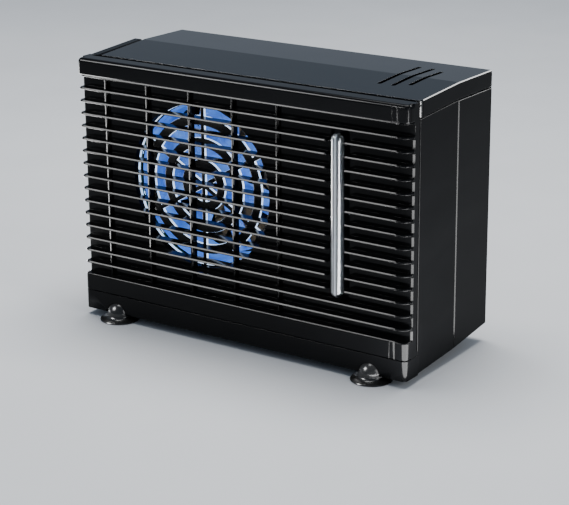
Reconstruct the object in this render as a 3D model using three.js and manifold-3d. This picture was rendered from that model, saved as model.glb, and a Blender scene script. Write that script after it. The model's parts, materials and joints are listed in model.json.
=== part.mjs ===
// Free-standing 12 V evaporative air cooler: louvred front, fan, wet pad, water tank and hinged lid.
// Units are millimetres. +Z is up, the louvres face -Y, and the rubber feet stand on z = 0.
// Inside this file y = 0 is the front face of the louvres and +Y runs to the back of the case.

import * as THREE from 'three';
import { ConvexGeometry } from 'three/addons/geometries/ConvexGeometry.js';
import { mergeVertices } from 'three/addons/utils/BufferGeometryUtils.js';
import Module from 'manifold-3d';

const wasm = await Module();
wasm.setup();

// ---------------------------------------------------------------- driving dimensions

const GAP = 0.3; // clearance between pieces that touch
const PRESS_GAP = 0.1; // clearance round a pressed or screwed-in piece
const OVERLAP = 0.5; // how far joined shapes reach into each other
const PAST = 1; // how far a cutting shape reaches past the surface it cuts
const WALL = 2.4;

// case
const HALF_WIDTH = 112.5; // front grille
const SHELL_HALF_WIDTH = 112.0;
const BASE_Z = 4.2; // underside of the case at the front
const CORNER_RADIUS = 2.8;
const GRILLE_BACK_Y = 12.4;
const SEAM_Y = 53.5; // joint between the front shell and the rear shell
const REAR_Y = 92.5;
const SEAM_BASE_Z = 6.7; // the underside rises towards the back
const REAR_BASE_Z = 10.2;
const FRONT_TOP_Z = 157.6; // the lid's top at its front edge
const CREASE_TOP_Z = 160.0; // and at the crease above the shell seam
const REAR_TOP_Z = 159.6;
const REAR_LEFT_X = -105.9; // the rear shell and the lid stop short of the left strip
const REAR_RIGHT_X = 111.0;
const UPSTAND_LOW_Z = 130; // foot of the wall behind the lid's skirt

// louvres
const FIN_PITCH = 7.6;
const FIN_COUNT = 15;
const FIN_THICKNESS = 2.1; // at the root; the underside slopes up to a thinner front edge
const FIN_TIP_THICKNESS = 1.1;
const FIN_REACH = 6.0;
const PANEL_BACK_Y = 8.4;
const TOP_BAND_LOWER_Z = 147.84;
const TOP_BAND_ROUND = 2.4;
const BASE_LIP_TOP_Z = 15.6;
const RIB_COUNT = 5;
const RIB_SPACING = 30.2;
const FIRST_RIB_X = -94.7;
const RIB_WIDTH = 1.6;
const RIB_FRONT_Y = 3.8;
const TONGUE_ZS = [45, 115]; // snap tongues between the cover and the front shell
const TONGUE_HEIGHT = 14;
const TONGUE_REACH = 7;
const TONGUE_THICKNESS = 1.4;
const SIDE_WALL = 3; // the front shell's right wall and the room beside each tongue

// fan
const FAN_X = -28.5;
const FAN_Z = 91.2;
const FAN_OPENING_R = 48;
const GUARD_FRONT_Y = PANEL_BACK_Y + GAP;
const GUARD_THICKNESS = 2.4;
const GUARD_RING_PITCH = 12.8;
const GUARD_RING_COUNT = 3;
const GUARD_GAP = 7.3;
const GUARD_OUTER_R = 52.4;
const GUARD_SEAT = 0.6; // the outer ring's inner edge, inside the opening
const SPOKE_COUNT = 6;
const SPOKE_WIDTH = 2.6;
const BLADE_COUNT = 7;
const BLADE_TIP_R = 45;
const HUB_R = 14;
const ROTOR_FRONT_Y = 17.5;
const ROTOR_DEPTH = 15;
const SHROUD_FRONT_Y = 13.1;
const SHROUD_BACK_Y = 40;
const SHROUD_BORE_R = 47.2;
const SHROUD_OUTER_R = 50.4;
const POST_OFFSET = 40.2; // screw posts, from the fan axis along X and along Z
const POST_R = 3.4;
const PILOT_R = 1.05; // screw holes in the posts
const EAR_THICKNESS = 2.8;
const EAR_HOLE_R = 1.3;
const STRUT_DEPTH = 4;
const STRUT_WIDTH = 3.4;
const CARRIER_WALL = 3;
const CARRIER_DEPTH = 12;
const BLADE_CHORD = 21;
const BLADE_CAMBER = 2.4;
const BLADE_THICKNESS = 1.3;
const BLADE_PITCH = 0.52; // radians
const HUB_WALL = 1.8;
const HUB_BOSS_R = 4;
const LAMP_COUNT = 12;
const LAMP_SIZE = [3.2, 1.2, 1.8];
const LAMP_BOARD_THICKNESS = 1.2;

// motor
const MOTOR_R = 12;
const MOTOR_FRONT_Y = 37;
const MOTOR_BACK_Y = 59;
const SHAFT_R = 1.15;
const RUNNING_CLEARANCE = 0.08;
const BEARING_R = 3;
const CAN_WALL = 1;
const CAP_THICKNESS = 2;
const CAP_BOSS_DEPTH = 4.5;
const TERMINAL_X = 8; // from the motor's axis
const POLE_COUNT = 3;
const POLE_SHOE_R = 8.2;
const POLE_SHOE_INNER_R = 6.4;
const CORE_R = 3.4;
const MAGNET_INNER_R = 8.9;
const MAGNET_SLIT = 3; // half the space between the magnets

// sight tube
const TUBE_X = 66.4;
const TUBE_Y = 3.2;
const TUBE_R = 4.1;
const TUBE_BORE_R = 2.9;
const TUBE_LOW_Z = 43.5;
const TUBE_HIGH_Z = 136.5;
const TUBE_BACK_Y = TUBE_Y + TUBE_R;
const PORT_INSET = 8; // the ports' distance from the tube's ends
const PORT_R = 2.2;
const CHANNEL_MARGIN = 1.6; // beside the tube
const CHANNEL_END_MARGIN = 2;

// water tank
const TANK_LEFT_X = 44;
const TANK_RIGHT_X = 98;
const TANK_FRONT_Y = 14.5;
const TANK_BACK_Y = 67;
const TANK_LOW_Z = 12;
const TANK_HIGH_Z = 142;
const TANK_WALL = 1.8;
const OUTLET_R = 2.4;
const OUTLET_BORE_R = 1.5;
const OUTLET_COLLAR_R = 4;
const OUTLET_REACH = 3.2;
const OUTLET_INSET = 8; // the outlet's height and depth inside the tank's corner

// evaporative pad and its tray
const PAD_HALF_WIDTH = 43;
const PAD_FRONT_Y = 74;
const PAD_BACK_Y = 82;
const PAD_LOW_Z = 17;
const PAD_HIGH_Z = 138;
const TRAY_FRONT_Y = 56;
const TRAY_LOW_Z = 13.2;
const TRAY_HIGH_Z = 26;
const TRAY_WALL = 1.6;
const TRAY_MARGIN = 5;
const FRAME_WIDTH = 2.6;
const FRAME_LIP = 3; // the frame covers the pad's edges by this much
const FRAME_LIP_THICKNESS = 2;

// lid
const LID_THICKNESS = 2.4;
const LID_FRONT_Y = GRILLE_BACK_Y + 0.8; // a wide seam lets the skirt swing past the grille
const SKIRT_DEPTH = 9.6;
const SKIRT_THICKNESS = 1.6;
const SLOT_XS = [74.2, 82.9, 90.9];
const SLOT_HALF_LENGTHS = [21, 21, 16.2];
const SLOT_WIDTH = 2.6;
const SLOT_CENTRE_Y = SEAM_Y + 0.5;
const LID_CORNER_R = 2.6;
const LID_RIB_XS = [REAR_LEFT_X + 5, 30];
const LID_RIB_YS = [20, 46];
const LID_RIB_DEPTH = 5.4;
const LID_RIB_THICKNESS = 1.6;
const HINGE_XS = [-70, 76];
const HINGE_LENGTH = 14;
const LUG_LENGTH = 5;
const HINGE_ARM_THICKNESS = 0.8;
const BARREL_R = 2.4;
const HINGE_Y = REAR_Y + GAP + BARREL_R;
const HINGE_DROP = 1.4; // the barrels lie below the lid's top surface
const HINGE_Z = REAR_TOP_Z - HINGE_DROP - BARREL_R;
const PIN_R = 0.9;

// switch and power inlet, side by side on the rear wall
const CONTROL_X = 84;
const SWITCH_Z = 62;
const SWITCH_HALF_WIDTH = 6.5;
const SWITCH_HALF_HEIGHT = 9.5;
const INLET_Z = 34;
const INLET_R = 4;
const INLET_BORE_R = 2.75;
const INLET_PIN_R = 1;
const FLANGE_RIM = 1.8; // of the switch and the inlet, outside the wall
const ROCKER_FACE_Y = REAR_Y + 3.4;
const ROCKER_HALF_HEIGHT = 6.9;

// intake
const INTAKE_HALF = 46;
const INTAKE_FLANGE = 3;
const INTAKE_FLANGE_THICKNESS = 1.6;
const INTAKE_FRAME = 2;
const SLAT_COUNT = 11;
const SLAT_DEPTH = 4.2;
const SLAT_THICKNESS = 1.3;
const SLAT_TILT = 0.6; // radians

// control board
const BOARD_Y = 70;
const BOARD_THICKNESS = 1.6;
const BOARD_X = [50, 76];
const BOARD_Z = [40, 84];

// feet
const FOOT_X = 89;
const FOOT_R = 7.4;
const FLANGE_R = 12;
const FLANGE_EDGE = 1;
const FRONT_FOOT_Y = 3.2;
const REAR_FOOT_Y = 80;

// case screws
const SCREW_LEFT_X = -98.8;
const SCREW_RIGHT_X = 104.2;
const SCREW_ZS = [17, 144];
const BOSS_R = 3.6;
const SCREW_HEAD_R = 2.5;
const SCREW_SHANK_R = 1.25;
const HEAD_SEAT_Y = 60;
const BOSS_LENGTH = 17;
const CASE_SCREW_LENGTH = 18;
const CASE_SCREW_HEAD = 2;
const SHROUD_SCREW = { length: 6.4, shankR: 0.95, headR: 2.1, headHeight: 1.4 };

// the frame's origin lies under the middle of the whole object
const FOOT_FRONT_Y = FRONT_FOOT_Y - FLANGE_R;
const ORIGIN_Y = (FOOT_FRONT_Y + HINGE_Y + BARREL_R) / 2;

// ---------------------------------------------------------------- materials

const finish = (color, roughness, metalness = 0) =>
  new THREE.MeshStandardMaterial({ color, roughness, metalness });

const gloss = () => finish(0x101013, 0.25);
const satin = () => finish(0x16161a, 0.45);
const rubber = () => finish(0x0c0c0d, 0.85);
const steel = () => finish(0x9a9da1, 0.3, 1);
const brass = () => finish(0xb08d4a, 0.35, 1);
const blue = () => finish(0x3f7fe0, 0.3);
const board = () => finish(0x0e4a2a, 0.6);

const clearPlastic = () => {
  const material = finish(0xdfe8ec, 0.08);
  material.transparent = true;
  material.opacity = 0.35;
  return material;
};

const tankPlastic = () => {
  const material = finish(0xd4dde2, 0.35);
  material.transparent = true;
  material.opacity = 0.6;
  return material;
};

// ---------------------------------------------------------------- solid helpers

// A closed three.js geometry as a manifold body: corners welded, collapsed triangles dropped.
function body(geometry) {
  const bare = new THREE.BufferGeometry();
  bare.setAttribute('position', geometry.attributes.position.clone());
  if (geometry.index) bare.setIndex(geometry.index.clone());
  const welded = mergeVertices(bare, 1e-4);
  const source = welded.index.array;
  const triVerts = [];
  for (let i = 0; i < source.length; i += 3) {
    const [a, b, c] = [source[i], source[i + 1], source[i + 2]];
    if (a !== b && b !== c && c !== a) triVerts.push(a, b, c);
  }
  return new wasm.Manifold(new wasm.Mesh({
    numProp: 3,
    vertProperties: new Float32Array(welded.attributes.position.array),
    triVerts: new Uint32Array(triVerts),
  }));
}

function join(...bodies) {
  return bodies.reduce((whole, next) => whole.add(next));
}

function cut(whole, ...tools) {
  return tools.reduce((rest, tool) => rest.subtract(tool), whole);
}

function block(x0, x1, y0, y1, z0, z1) {
  const geometry = new THREE.BoxGeometry(x1 - x0, y1 - y0, z1 - z0);
  return body(geometry.translate((x0 + x1) / 2, (y0 + y1) / 2, (z0 + z1) / 2));
}

// Cylinder along X, Y or Z from one coordinate to another, centred on the other two.
function rod(axis, radius, from, to, [a, b], segments = 20) {
  const geometry = new THREE.CylinderGeometry(radius, radius, to - from, segments);
  const middle = (from + to) / 2;
  if (axis === 'x') return body(geometry.rotateZ(-Math.PI / 2).translate(middle, a, b));
  if (axis === 'y') return body(geometry.translate(a, middle, b));
  return body(geometry.rotateX(Math.PI / 2).translate(a, b, middle));
}

// Ring along Y about the fan axis.
function fanRing(innerR, outerR, y0, y1, segments = 40) {
  const outer = rod('y', outerR, y0, y1, [FAN_X, FAN_Z], segments);
  return cut(outer, rod('y', innerR, y0 - 1, y1 + 1, [FAN_X, FAN_Z], segments));
}

function outline(points) {
  return new THREE.Shape(points.map(([a, b]) => new THREE.Vector2(a, b)));
}

// Side profile of [y, z] points, extruded along X.
function sideProfile(points, x0, x1) {
  const geometry = new THREE.ExtrudeGeometry(outline(points), { depth: x1 - x0, bevelEnabled: false });
  const upright = new THREE.Matrix4().makeBasis(
    new THREE.Vector3(0, 1, 0), new THREE.Vector3(0, 0, 1), new THREE.Vector3(1, 0, 0));
  return body(geometry.applyMatrix4(upright).translate(x0, 0, 0));
}

// Plan shape in X and Y, extruded along Z.
function planShape(shape, z0, z1) {
  const geometry = new THREE.ExtrudeGeometry(shape, {
    depth: z1 - z0, bevelEnabled: false, curveSegments: 4,
  });
  return body(geometry.translate(0, 0, z0));
}

// Plan rectangle whose two front corners are rounded.
function roundedFrontPlan(halfWidth, y0, y1, radius) {
  const shape = new THREE.Shape();
  shape.moveTo(-halfWidth, y1);
  shape.lineTo(-halfWidth, y0 + radius);
  shape.absarc(-halfWidth + radius, y0 + radius, radius, Math.PI, 1.5 * Math.PI, false);
  shape.absarc(halfWidth - radius, y0 + radius, radius, 1.5 * Math.PI, 2 * Math.PI, false);
  shape.lineTo(halfWidth, y1);
  return shape;
}

// Box that tapers along Y, given its rectangle { x0, x1, z0, z1 } at either end.
function taperedBlock(front, rear, y0, y1) {
  const corners = [];
  for (const [end, y] of [[front, y0], [rear, y1]]) {
    for (const x of [end.x0, end.x1]) {
      for (const z of [end.z0, end.z1]) corners.push(new THREE.Vector3(x, y, z));
    }
  }
  return body(new ConvexGeometry(corners));
}

// Surface of revolution about +Z from [r, z] points that start and end on the axis.
function turned(points, segments = 24) {
  return new THREE.LatheGeometry(points.map(([r, z]) => new THREE.Vector2(r, z)), segments)
    .rotateX(Math.PI / 2);
}

function wire(points, radius) {
  const path = new THREE.CatmullRomCurve3(points.map((p) => new THREE.Vector3(...p)));
  const section = new THREE.Shape().absarc(0, 0, radius, 0, 2 * Math.PI, false);
  const geometry = new THREE.ExtrudeGeometry(section, {
    steps: 14, extrudePath: path, curveSegments: 4, bevelEnabled: false,
  });
  return body(geometry);
}

const model = new THREE.Group();

function node(name, solid, material) {
  const mesh = solid.getMesh();
  const geometry = new THREE.BufferGeometry();
  geometry.setAttribute('position', new THREE.BufferAttribute(mesh.vertProperties, 3));
  geometry.setIndex(new THREE.BufferAttribute(mesh.triVerts, 1));
  geometry.computeVertexNormals();
  const part = new THREE.Mesh(geometry, material);
  part.name = name;
  model.add(part);
}

// ---------------------------------------------------------------- case outline

const finTop = (index) => TOP_BAND_LOWER_Z - (index + 1) * FIN_PITCH;
const BOTTOM_BAND_Z = TOP_BAND_LOWER_Z - (FIN_COUNT + 1) * FIN_PITCH;

const mix = (a, b, t) => a + (b - a) * t;

// Height of the lid's top surface at depth y.
function topAt(y) {
  if (y < SEAM_Y) return mix(FRONT_TOP_Z, CREASE_TOP_Z, (y - GRILLE_BACK_Y) / (SEAM_Y - GRILLE_BACK_Y));
  return mix(CREASE_TOP_Z, REAR_TOP_Z, (y - SEAM_Y) / (REAR_Y - SEAM_Y));
}

// Height of the case's underside at depth y.
function baseAt(y) {
  if (y < GRILLE_BACK_Y) return BASE_Z;
  if (y < SEAM_Y) return mix(BASE_Z, SEAM_BASE_Z, (y - GRILLE_BACK_Y) / (SEAM_Y - GRILLE_BACK_Y));
  return mix(SEAM_BASE_Z, REAR_BASE_Z, (y - SEAM_Y) / (REAR_Y - SEAM_Y));
}

// Everything above a line that lies `drop` below the top surface, between two depths.
function aboveTop(drop, y0, y1, x0, x1) {
  const high = CREASE_TOP_Z + 5;
  const ys = [y0, SEAM_Y, y1].filter((y, i) => i !== 1 || (y0 < SEAM_Y && y1 > SEAM_Y));
  const lower = ys.map((y) => [y, topAt(y) - drop]);
  return sideProfile([...lower, [y1, high], [y0, high]], x0, x1);
}

// Room for the lid's side skirt, cut out of the right-hand walls.
const skirtRoom = () => aboveTop(SKIRT_DEPTH + GAP, GRILLE_BACK_Y - 1, REAR_Y + 1,
  SHELL_HALF_WIDTH - SKIRT_THICKNESS - GAP, SHELL_HALF_WIDTH + 1);

// ---------------------------------------------------------------- front

function sightTubeChannel() {
  const halfWidth = TUBE_R + CHANNEL_MARGIN;
  return block(TUBE_X - halfWidth, TUBE_X + halfWidth, -PAST, TUBE_BACK_Y + GAP,
    TUBE_LOW_Z - CHANNEL_END_MARGIN, TUBE_HIGH_Z + CHANNEL_END_MARGIN);
}

const portHeights = [TUBE_LOW_Z + PORT_INSET, TUBE_HIGH_Z - PORT_INSET];

// Louvred cover: fins that wrap both corners, ribs across the fan opening, plain bands above and below.
function frontGrille() {
  const low = BASE_LIP_TOP_Z + GAP;
  let cover = planShape(roundedFrontPlan(HALF_WIDTH, 0, GRILLE_BACK_Y, CORNER_RADIUS), low, FRONT_TOP_Z);

  // rounded front edge of the top band
  const edge = new THREE.Shape();
  const round = TOP_BAND_ROUND;
  edge.moveTo(-1, FRONT_TOP_Z - round);
  edge.lineTo(0, FRONT_TOP_Z - round);
  edge.absarc(round, FRONT_TOP_Z - round, round, Math.PI, Math.PI / 2, true);
  edge.lineTo(round, FRONT_TOP_Z + 1);
  edge.lineTo(-1, FRONT_TOP_Z + 1);
  cover = cut(cover, sideProfile(edge.getPoints(4).map((p) => [p.x, p.y]), -HALF_WIDTH - 1, HALF_WIDTH + 1));

  // hollow behind the panel
  const inner = HALF_WIDTH - WALL;
  cover = cut(cover, block(-inner, inner, PANEL_BACK_Y, GRILLE_BACK_Y + 1, low + WALL, FRONT_TOP_Z - WALL));

  // the gaps between the fins run right round both corners
  for (let i = 0; i <= FIN_COUNT; i += 1) {
    const root = i === 0 ? TOP_BAND_LOWER_Z : finTop(i - 1) - FIN_THICKNESS;
    const tip = i === 0 ? TOP_BAND_LOWER_Z : finTop(i - 1) - FIN_TIP_THICKNESS;
    const lower = i === FIN_COUNT ? BOTTOM_BAND_Z : finTop(i);
    const gap = [[-1, lower], [FIN_REACH, lower], [FIN_REACH, root], [0, tip], [-1, tip]];
    cover = cut(cover, sideProfile(gap, -HALF_WIDTH - 1, HALF_WIDTH + 1));
  }

  // air outlet, which stops behind the fins
  const outlet = rod('y', FAN_OPENING_R, FIN_REACH - 0.01, PANEL_BACK_Y + 1, [FAN_X, FAN_Z], 40);
  cover = cut(cover, outlet);
  for (let i = 0; i < RIB_COUNT; i += 1) {
    const x = FIRST_RIB_X + i * RIB_SPACING;
    cover = join(cover, block(x - RIB_WIDTH / 2, x + RIB_WIDTH / 2, RIB_FRONT_Y, PANEL_BACK_Y,
      BOTTOM_BAND_Z - 1, TOP_BAND_LOWER_Z + 1));
  }

  cover = cut(cover, sightTubeChannel());
  for (const z of portHeights) cover = cut(cover, rod('y', PORT_R + GAP, 0, GRILLE_BACK_Y, [TUBE_X, z], 16));

  // posts for the shroud screws
  for (const [x, z] of shroudScrewPlaces()) {
    const post = rod('y', POST_R, PANEL_BACK_Y - OVERLAP, GRILLE_BACK_Y, [x, z], 16);
    cover = join(cover, post);
    cover = cut(cover, rod('y', PILOT_R, PANEL_BACK_Y, GRILLE_BACK_Y + PAST, [x, z], 12));
  }

  // snap tongues that enter the front shell
  const outer = SHELL_HALF_WIDTH - SIDE_WALL - GAP;
  const [y0, y1] = [PANEL_BACK_Y - OVERLAP, GRILLE_BACK_Y + TONGUE_REACH];
  for (const z of TONGUE_ZS) {
    cover = join(cover,
      block(-outer, -outer + TONGUE_THICKNESS, y0, y1, z, z + TONGUE_HEIGHT),
      block(outer - TONGUE_THICKNESS, outer, y0, y1, z, z + TONGUE_HEIGHT));
  }
  return cover;
}

function shroudScrewPlaces() {
  const places = [];
  for (const sx of [-1, 1]) {
    for (const sz of [-1, 1]) places.push([FAN_X + sx * POST_OFFSET, FAN_Z + sz * POST_OFFSET]);
  }
  return places;
}

// Guard of concentric rings with spokes and a round centre.
function fanGuard() {
  const [y0, y1] = [GUARD_FRONT_Y, GUARD_FRONT_Y + GUARD_THICKNESS];
  const ringWidth = GUARD_RING_PITCH - GUARD_GAP;
  const outerEdge = (ring) => FAN_OPENING_R - ring * GUARD_RING_PITCH + ringWidth;
  let guard = fanRing(FAN_OPENING_R - GUARD_SEAT, GUARD_OUTER_R, y0, y1);
  for (let ring = 1; ring <= GUARD_RING_COUNT; ring += 1) {
    guard = join(guard, fanRing(outerEdge(ring) - ringWidth, outerEdge(ring), y0, y1, 32));
  }
  guard = join(guard, rod('y', outerEdge(GUARD_RING_COUNT + 1), y0, y1, [FAN_X, FAN_Z], 16));
  for (let i = 0; i < SPOKE_COUNT / 2; i += 1) {
    const bar = new THREE.BoxGeometry(2 * FAN_OPENING_R, GUARD_THICKNESS, SPOKE_WIDTH)
      .rotateY((i + 0.5) * 2 * Math.PI / SPOKE_COUNT)
      .translate(FAN_X, (y0 + y1) / 2, FAN_Z);
    guard = join(guard, body(bar));
  }
  return guard;
}

// Clear level tube with rounded ends and two ports to the tank.
function sightTube() {
  const capsule = (radius, inset) => {
    const low = TUBE_LOW_Z + inset;
    const high = TUBE_HIGH_Z - inset;
    const points = [];
    const steps = 4;
    for (let i = 0; i <= steps; i += 1) {
      const a = (i / steps) * Math.PI / 2;
      points.push([radius * Math.sin(a), low + radius - radius * Math.cos(a)]);
    }
    for (let i = steps; i >= 0; i -= 1) {
      const a = (i / steps) * Math.PI / 2;
      points.push([radius * Math.sin(a), high - radius + radius * Math.cos(a)]);
    }
    points[0][0] = 0;
    points[points.length - 1][0] = 0;
    return body(turned(points, 20).translate(TUBE_X, TUBE_Y, 0));
  };
  let tube = cut(capsule(TUBE_R, 0), capsule(TUBE_BORE_R, TUBE_R - TUBE_BORE_R));
  for (const z of portHeights) {
    tube = cut(tube, rod('y', PORT_R - 0.6, TUBE_Y, TUBE_Y + TUBE_R + 1, [TUBE_X, z], 16));
  }
  return tube;
}

// Short pipe with a collar, from the sight tube to the tank.
function tubePort(z) {
  const start = TUBE_BACK_Y + GAP;
  const end = TANK_FRONT_Y + TANK_WALL + 1.5;
  const pipe = join(
    rod('y', PORT_R, start, end, [TUBE_X, z], 16),
    rod('y', PORT_R + 1.6, PANEL_BACK_Y + GAP, TANK_FRONT_Y - GAP, [TUBE_X, z], 16),
  );
  return cut(pipe, rod('y', PORT_R - 0.9, start - 1, end + 1, [TUBE_X, z], 16));
}

// ---------------------------------------------------------------- shells

function bossWeb(x, z, wallX) {
  const [x0, x1] = x < wallX ? [x, wallX] : [wallX, x];
  return block(x0, x1, SEAM_Y - BOSS_LENGTH, SEAM_Y - GAP / 2, z - 1, z + 1);
}

// Front half of the case with the base lip and the strip left of the lid.
function frontShell() {
  const back = SEAM_Y - GAP / 2;
  const walls = sideProfile([
    [GRILLE_BACK_Y + GAP, BASE_Z], [back, baseAt(back)], [back, topAt(back)],
    [GRILLE_BACK_Y + GAP, topAt(GRILLE_BACK_Y + GAP)],
  ], -SHELL_HALF_WIDTH, SHELL_HALF_WIDTH);
  const inside = sideProfile([
    [WALL, BASE_Z + WALL], [GRILLE_BACK_Y, BASE_Z + WALL], [SEAM_Y + 1, baseAt(SEAM_Y) + WALL],
    [SEAM_Y + 1, topAt(SEAM_Y) - LID_THICKNESS], [WALL, FRONT_TOP_Z - LID_THICKNESS],
  ], -SHELL_HALF_WIDTH + WALL, SHELL_HALF_WIDTH - SIDE_WALL);

  const lip = planShape(
    roundedFrontPlan(HALF_WIDTH, 0, GRILLE_BACK_Y + 1, CORNER_RADIUS), BASE_Z, BASE_LIP_TOP_Z);
  const lipInside = block(-HALF_WIDTH + WALL, HALF_WIDTH - SIDE_WALL - 0.5, WALL, SEAM_Y,
    BASE_Z + WALL, BASE_LIP_TOP_Z + PAST);

  // return wall that closes the step between the two shells on the left
  const step = sideProfile([
    [back - WALL, baseAt(back - WALL) + 0.5], [back, baseAt(back) + 0.5],
    [back, topAt(back) - 1], [back - WALL, topAt(back) - 1.2],
  ], -SHELL_HALF_WIDTH + 1, REAR_LEFT_X + WALL);

  let shell = join(cut(join(walls, lip), inside, lipInside), step);
  // the lid's seat, from the left strip to the right wall
  shell = cut(shell, aboveTop(LID_THICKNESS + GAP, GRILLE_BACK_Y - 1, SEAM_Y + 1,
    REAR_LEFT_X - GAP, SHELL_HALF_WIDTH + 1));
  shell = cut(shell, skirtRoom());

  for (const z of SCREW_ZS) {
    for (const [x, wallX] of [[SCREW_LEFT_X, -SHELL_HALF_WIDTH + 1], [SCREW_RIGHT_X, SHELL_HALF_WIDTH - 2]]) {
      shell = join(shell, rod('y', BOSS_R, SEAM_Y - BOSS_LENGTH, back, [x, z], 16), bossWeb(x, z, wallX));
      shell = cut(shell,
        rod('y', SCREW_SHANK_R + PRESS_GAP, SEAM_Y - BOSS_LENGTH + 3, SEAM_Y + PAST, [x, z], 12));
    }
  }
  for (const x of [-FOOT_X, FOOT_X]) shell = cut(shell, footPocket(x, FRONT_FOOT_Y));
  return shell;
}

// Rear half of the case, drafted towards the back.
function rearShell() {
  const front = SEAM_Y + GAP / 2;
  const section = (y, inset) => ({
    x0: REAR_LEFT_X + 0.5 * (y - SEAM_Y) / (REAR_Y - SEAM_Y) + inset,
    x1: mix(SHELL_HALF_WIDTH, REAR_RIGHT_X, (y - SEAM_Y) / (REAR_Y - SEAM_Y)) - inset,
    z0: baseAt(y) + inset,
    z1: topAt(y),
  });
  let shell = taperedBlock(section(front, 0), section(REAR_Y, 0), front, REAR_Y);
  const innerRear = section(REAR_Y - WALL, WALL);
  const innerFront = section(SEAM_Y - 1, WALL);
  shell = cut(shell, taperedBlock(innerFront, innerRear, SEAM_Y - 1, REAR_Y - WALL));
  // upstand that backs the lid's skirt
  shell = join(shell, block(SHELL_HALF_WIDTH - 4, SHELL_HALF_WIDTH - 2.2, front, REAR_Y - 1,
    UPSTAND_LOW_Z, CREASE_TOP_Z - 1));
  shell = cut(shell,
    aboveTop(LID_THICKNESS + GAP, SEAM_Y, REAR_Y + PAST, -SHELL_HALF_WIDTH, SHELL_HALF_WIDTH + PAST),
    skirtRoom());

  for (const z of SCREW_ZS) {
    for (const x of [SCREW_LEFT_X, SCREW_RIGHT_X]) {
      shell = join(shell, rod('y', BOSS_R, front, REAR_Y - 1, [x, z], 16));
      shell = cut(shell,
        rod('y', SCREW_HEAD_R + 0.4, HEAD_SEAT_Y, REAR_Y + 1, [x, z], 16),
        rod('y', SCREW_SHANK_R + 0.35, SEAM_Y - 1, HEAD_SEAT_Y + 1, [x, z], 12));
    }
  }

  // air intake, switch, power inlet and feet
  shell = cut(shell,
    block(FAN_X - INTAKE_HALF, FAN_X + INTAKE_HALF, REAR_Y - 5, REAR_Y + 1,
      FAN_Z - INTAKE_HALF, FAN_Z + INTAKE_HALF),
    block(CONTROL_X - SWITCH_HALF_WIDTH, CONTROL_X + SWITCH_HALF_WIDTH, REAR_Y - 5, REAR_Y + 1,
      SWITCH_Z - SWITCH_HALF_HEIGHT, SWITCH_Z + SWITCH_HALF_HEIGHT),
    rod('y', INLET_R, REAR_Y - 5, REAR_Y + 1, [CONTROL_X, INLET_Z], 24));
  for (const x of [-FOOT_X, FOOT_X]) shell = cut(shell, footPocket(x, REAR_FOOT_Y));

  // hinge lugs on both sides of each lid barrel
  for (const hingeX of HINGE_XS) {
    for (const side of [-1, 1]) {
      const inner = hingeX + side * (HINGE_LENGTH / 2 + GAP);
      const outer = inner + side * LUG_LENGTH;
      const [x0, x1] = side < 0 ? [outer, inner] : [inner, outer];
      shell = join(shell,
        rod('x', BARREL_R, x0, x1, [HINGE_Y, HINGE_Z], 20),
        block(x0, x1, REAR_Y - 1, HINGE_Y + 0.3, HINGE_Z - BARREL_R + 0.15, HINGE_Z - 0.6));
      shell = cut(shell, rod('x', PIN_R + RUNNING_CLEARANCE, x0 - 1, x1 + 1, [HINGE_Y, HINGE_Z], 16));
    }
  }
  return shell;
}

// Top lid with three slots, a skirt along the right side and two hinge barrels.
function lid() {
  const front = LID_FRONT_Y;
  const rear = REAR_Y - GAP;
  const top = [[front, topAt(front)], [SEAM_Y, CREASE_TOP_Z], [rear, topAt(rear)]];
  const under = top.map(([y, z]) => [y, z - LID_THICKNESS]).reverse();
  const skirtUnder = top.map(([y, z]) => [y, z - SKIRT_DEPTH]).reverse();
  let plate = sideProfile([...top, ...under], REAR_LEFT_X, SHELL_HALF_WIDTH);
  plate = join(plate, sideProfile([...top, ...skirtUnder],
    SHELL_HALF_WIDTH - SKIRT_THICKNESS, SHELL_HALF_WIDTH));

  // rounded front right corner and drafted right side
  const corner = new THREE.Shape();
  const radius = LID_CORNER_R;
  corner.moveTo(REAR_LEFT_X - 1, front);
  corner.lineTo(SHELL_HALF_WIDTH - radius, front);
  corner.absarc(SHELL_HALF_WIDTH - radius, front + radius, radius, -Math.PI / 2, 0, false);
  corner.lineTo(SHELL_HALF_WIDTH, SEAM_Y);
  corner.lineTo(REAR_RIGHT_X, rear);
  corner.lineTo(REAR_LEFT_X - 1, rear);
  plate = plate.intersect(planShape(corner, FRONT_TOP_Z - 20, CREASE_TOP_Z + 1));

  SLOT_XS.forEach((x, i) => {
    const half = SLOT_HALF_LENGTHS[i];
    const slot = new THREE.Shape();
    slot.absarc(x, SLOT_CENTRE_Y + half, SLOT_WIDTH / 2, 0, Math.PI, false);
    slot.absarc(x, SLOT_CENTRE_Y - half, SLOT_WIDTH / 2, Math.PI, 2 * Math.PI, false);
    plate = cut(plate, planShape(slot, FRONT_TOP_Z - 10, CREASE_TOP_Z + 1));
  });

  // stiffening ribs that also locate the lid inside the shells
  const [ribFront, ribBack] = LID_RIB_YS;
  for (const x of LID_RIB_XS) {
    plate = join(plate, sideProfile([
      [ribFront, topAt(ribFront) - LID_RIB_DEPTH], [ribBack, topAt(ribBack) - LID_RIB_DEPTH],
      [ribBack, topAt(ribBack) - 1.5], [ribFront, topAt(ribFront) - 1.5],
    ], x, x + LID_RIB_THICKNESS));
  }

  const armTop = HINGE_Z + BARREL_R - 0.1;
  for (const x of HINGE_XS) {
    const [x0, x1] = [x - HINGE_LENGTH / 2, x + HINGE_LENGTH / 2];
    plate = join(plate,
      rod('x', BARREL_R, x0, x1, [HINGE_Y, HINGE_Z], 20),
      block(x0, x1, rear - 1, HINGE_Y + 0.3, armTop - HINGE_ARM_THICKNESS, armTop));
    plate = cut(plate, rod('x', PIN_R + RUNNING_CLEARANCE, x0 - 1, x1 + 1, [HINGE_Y, HINGE_Z], 16));
  }
  return plate;
}

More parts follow.
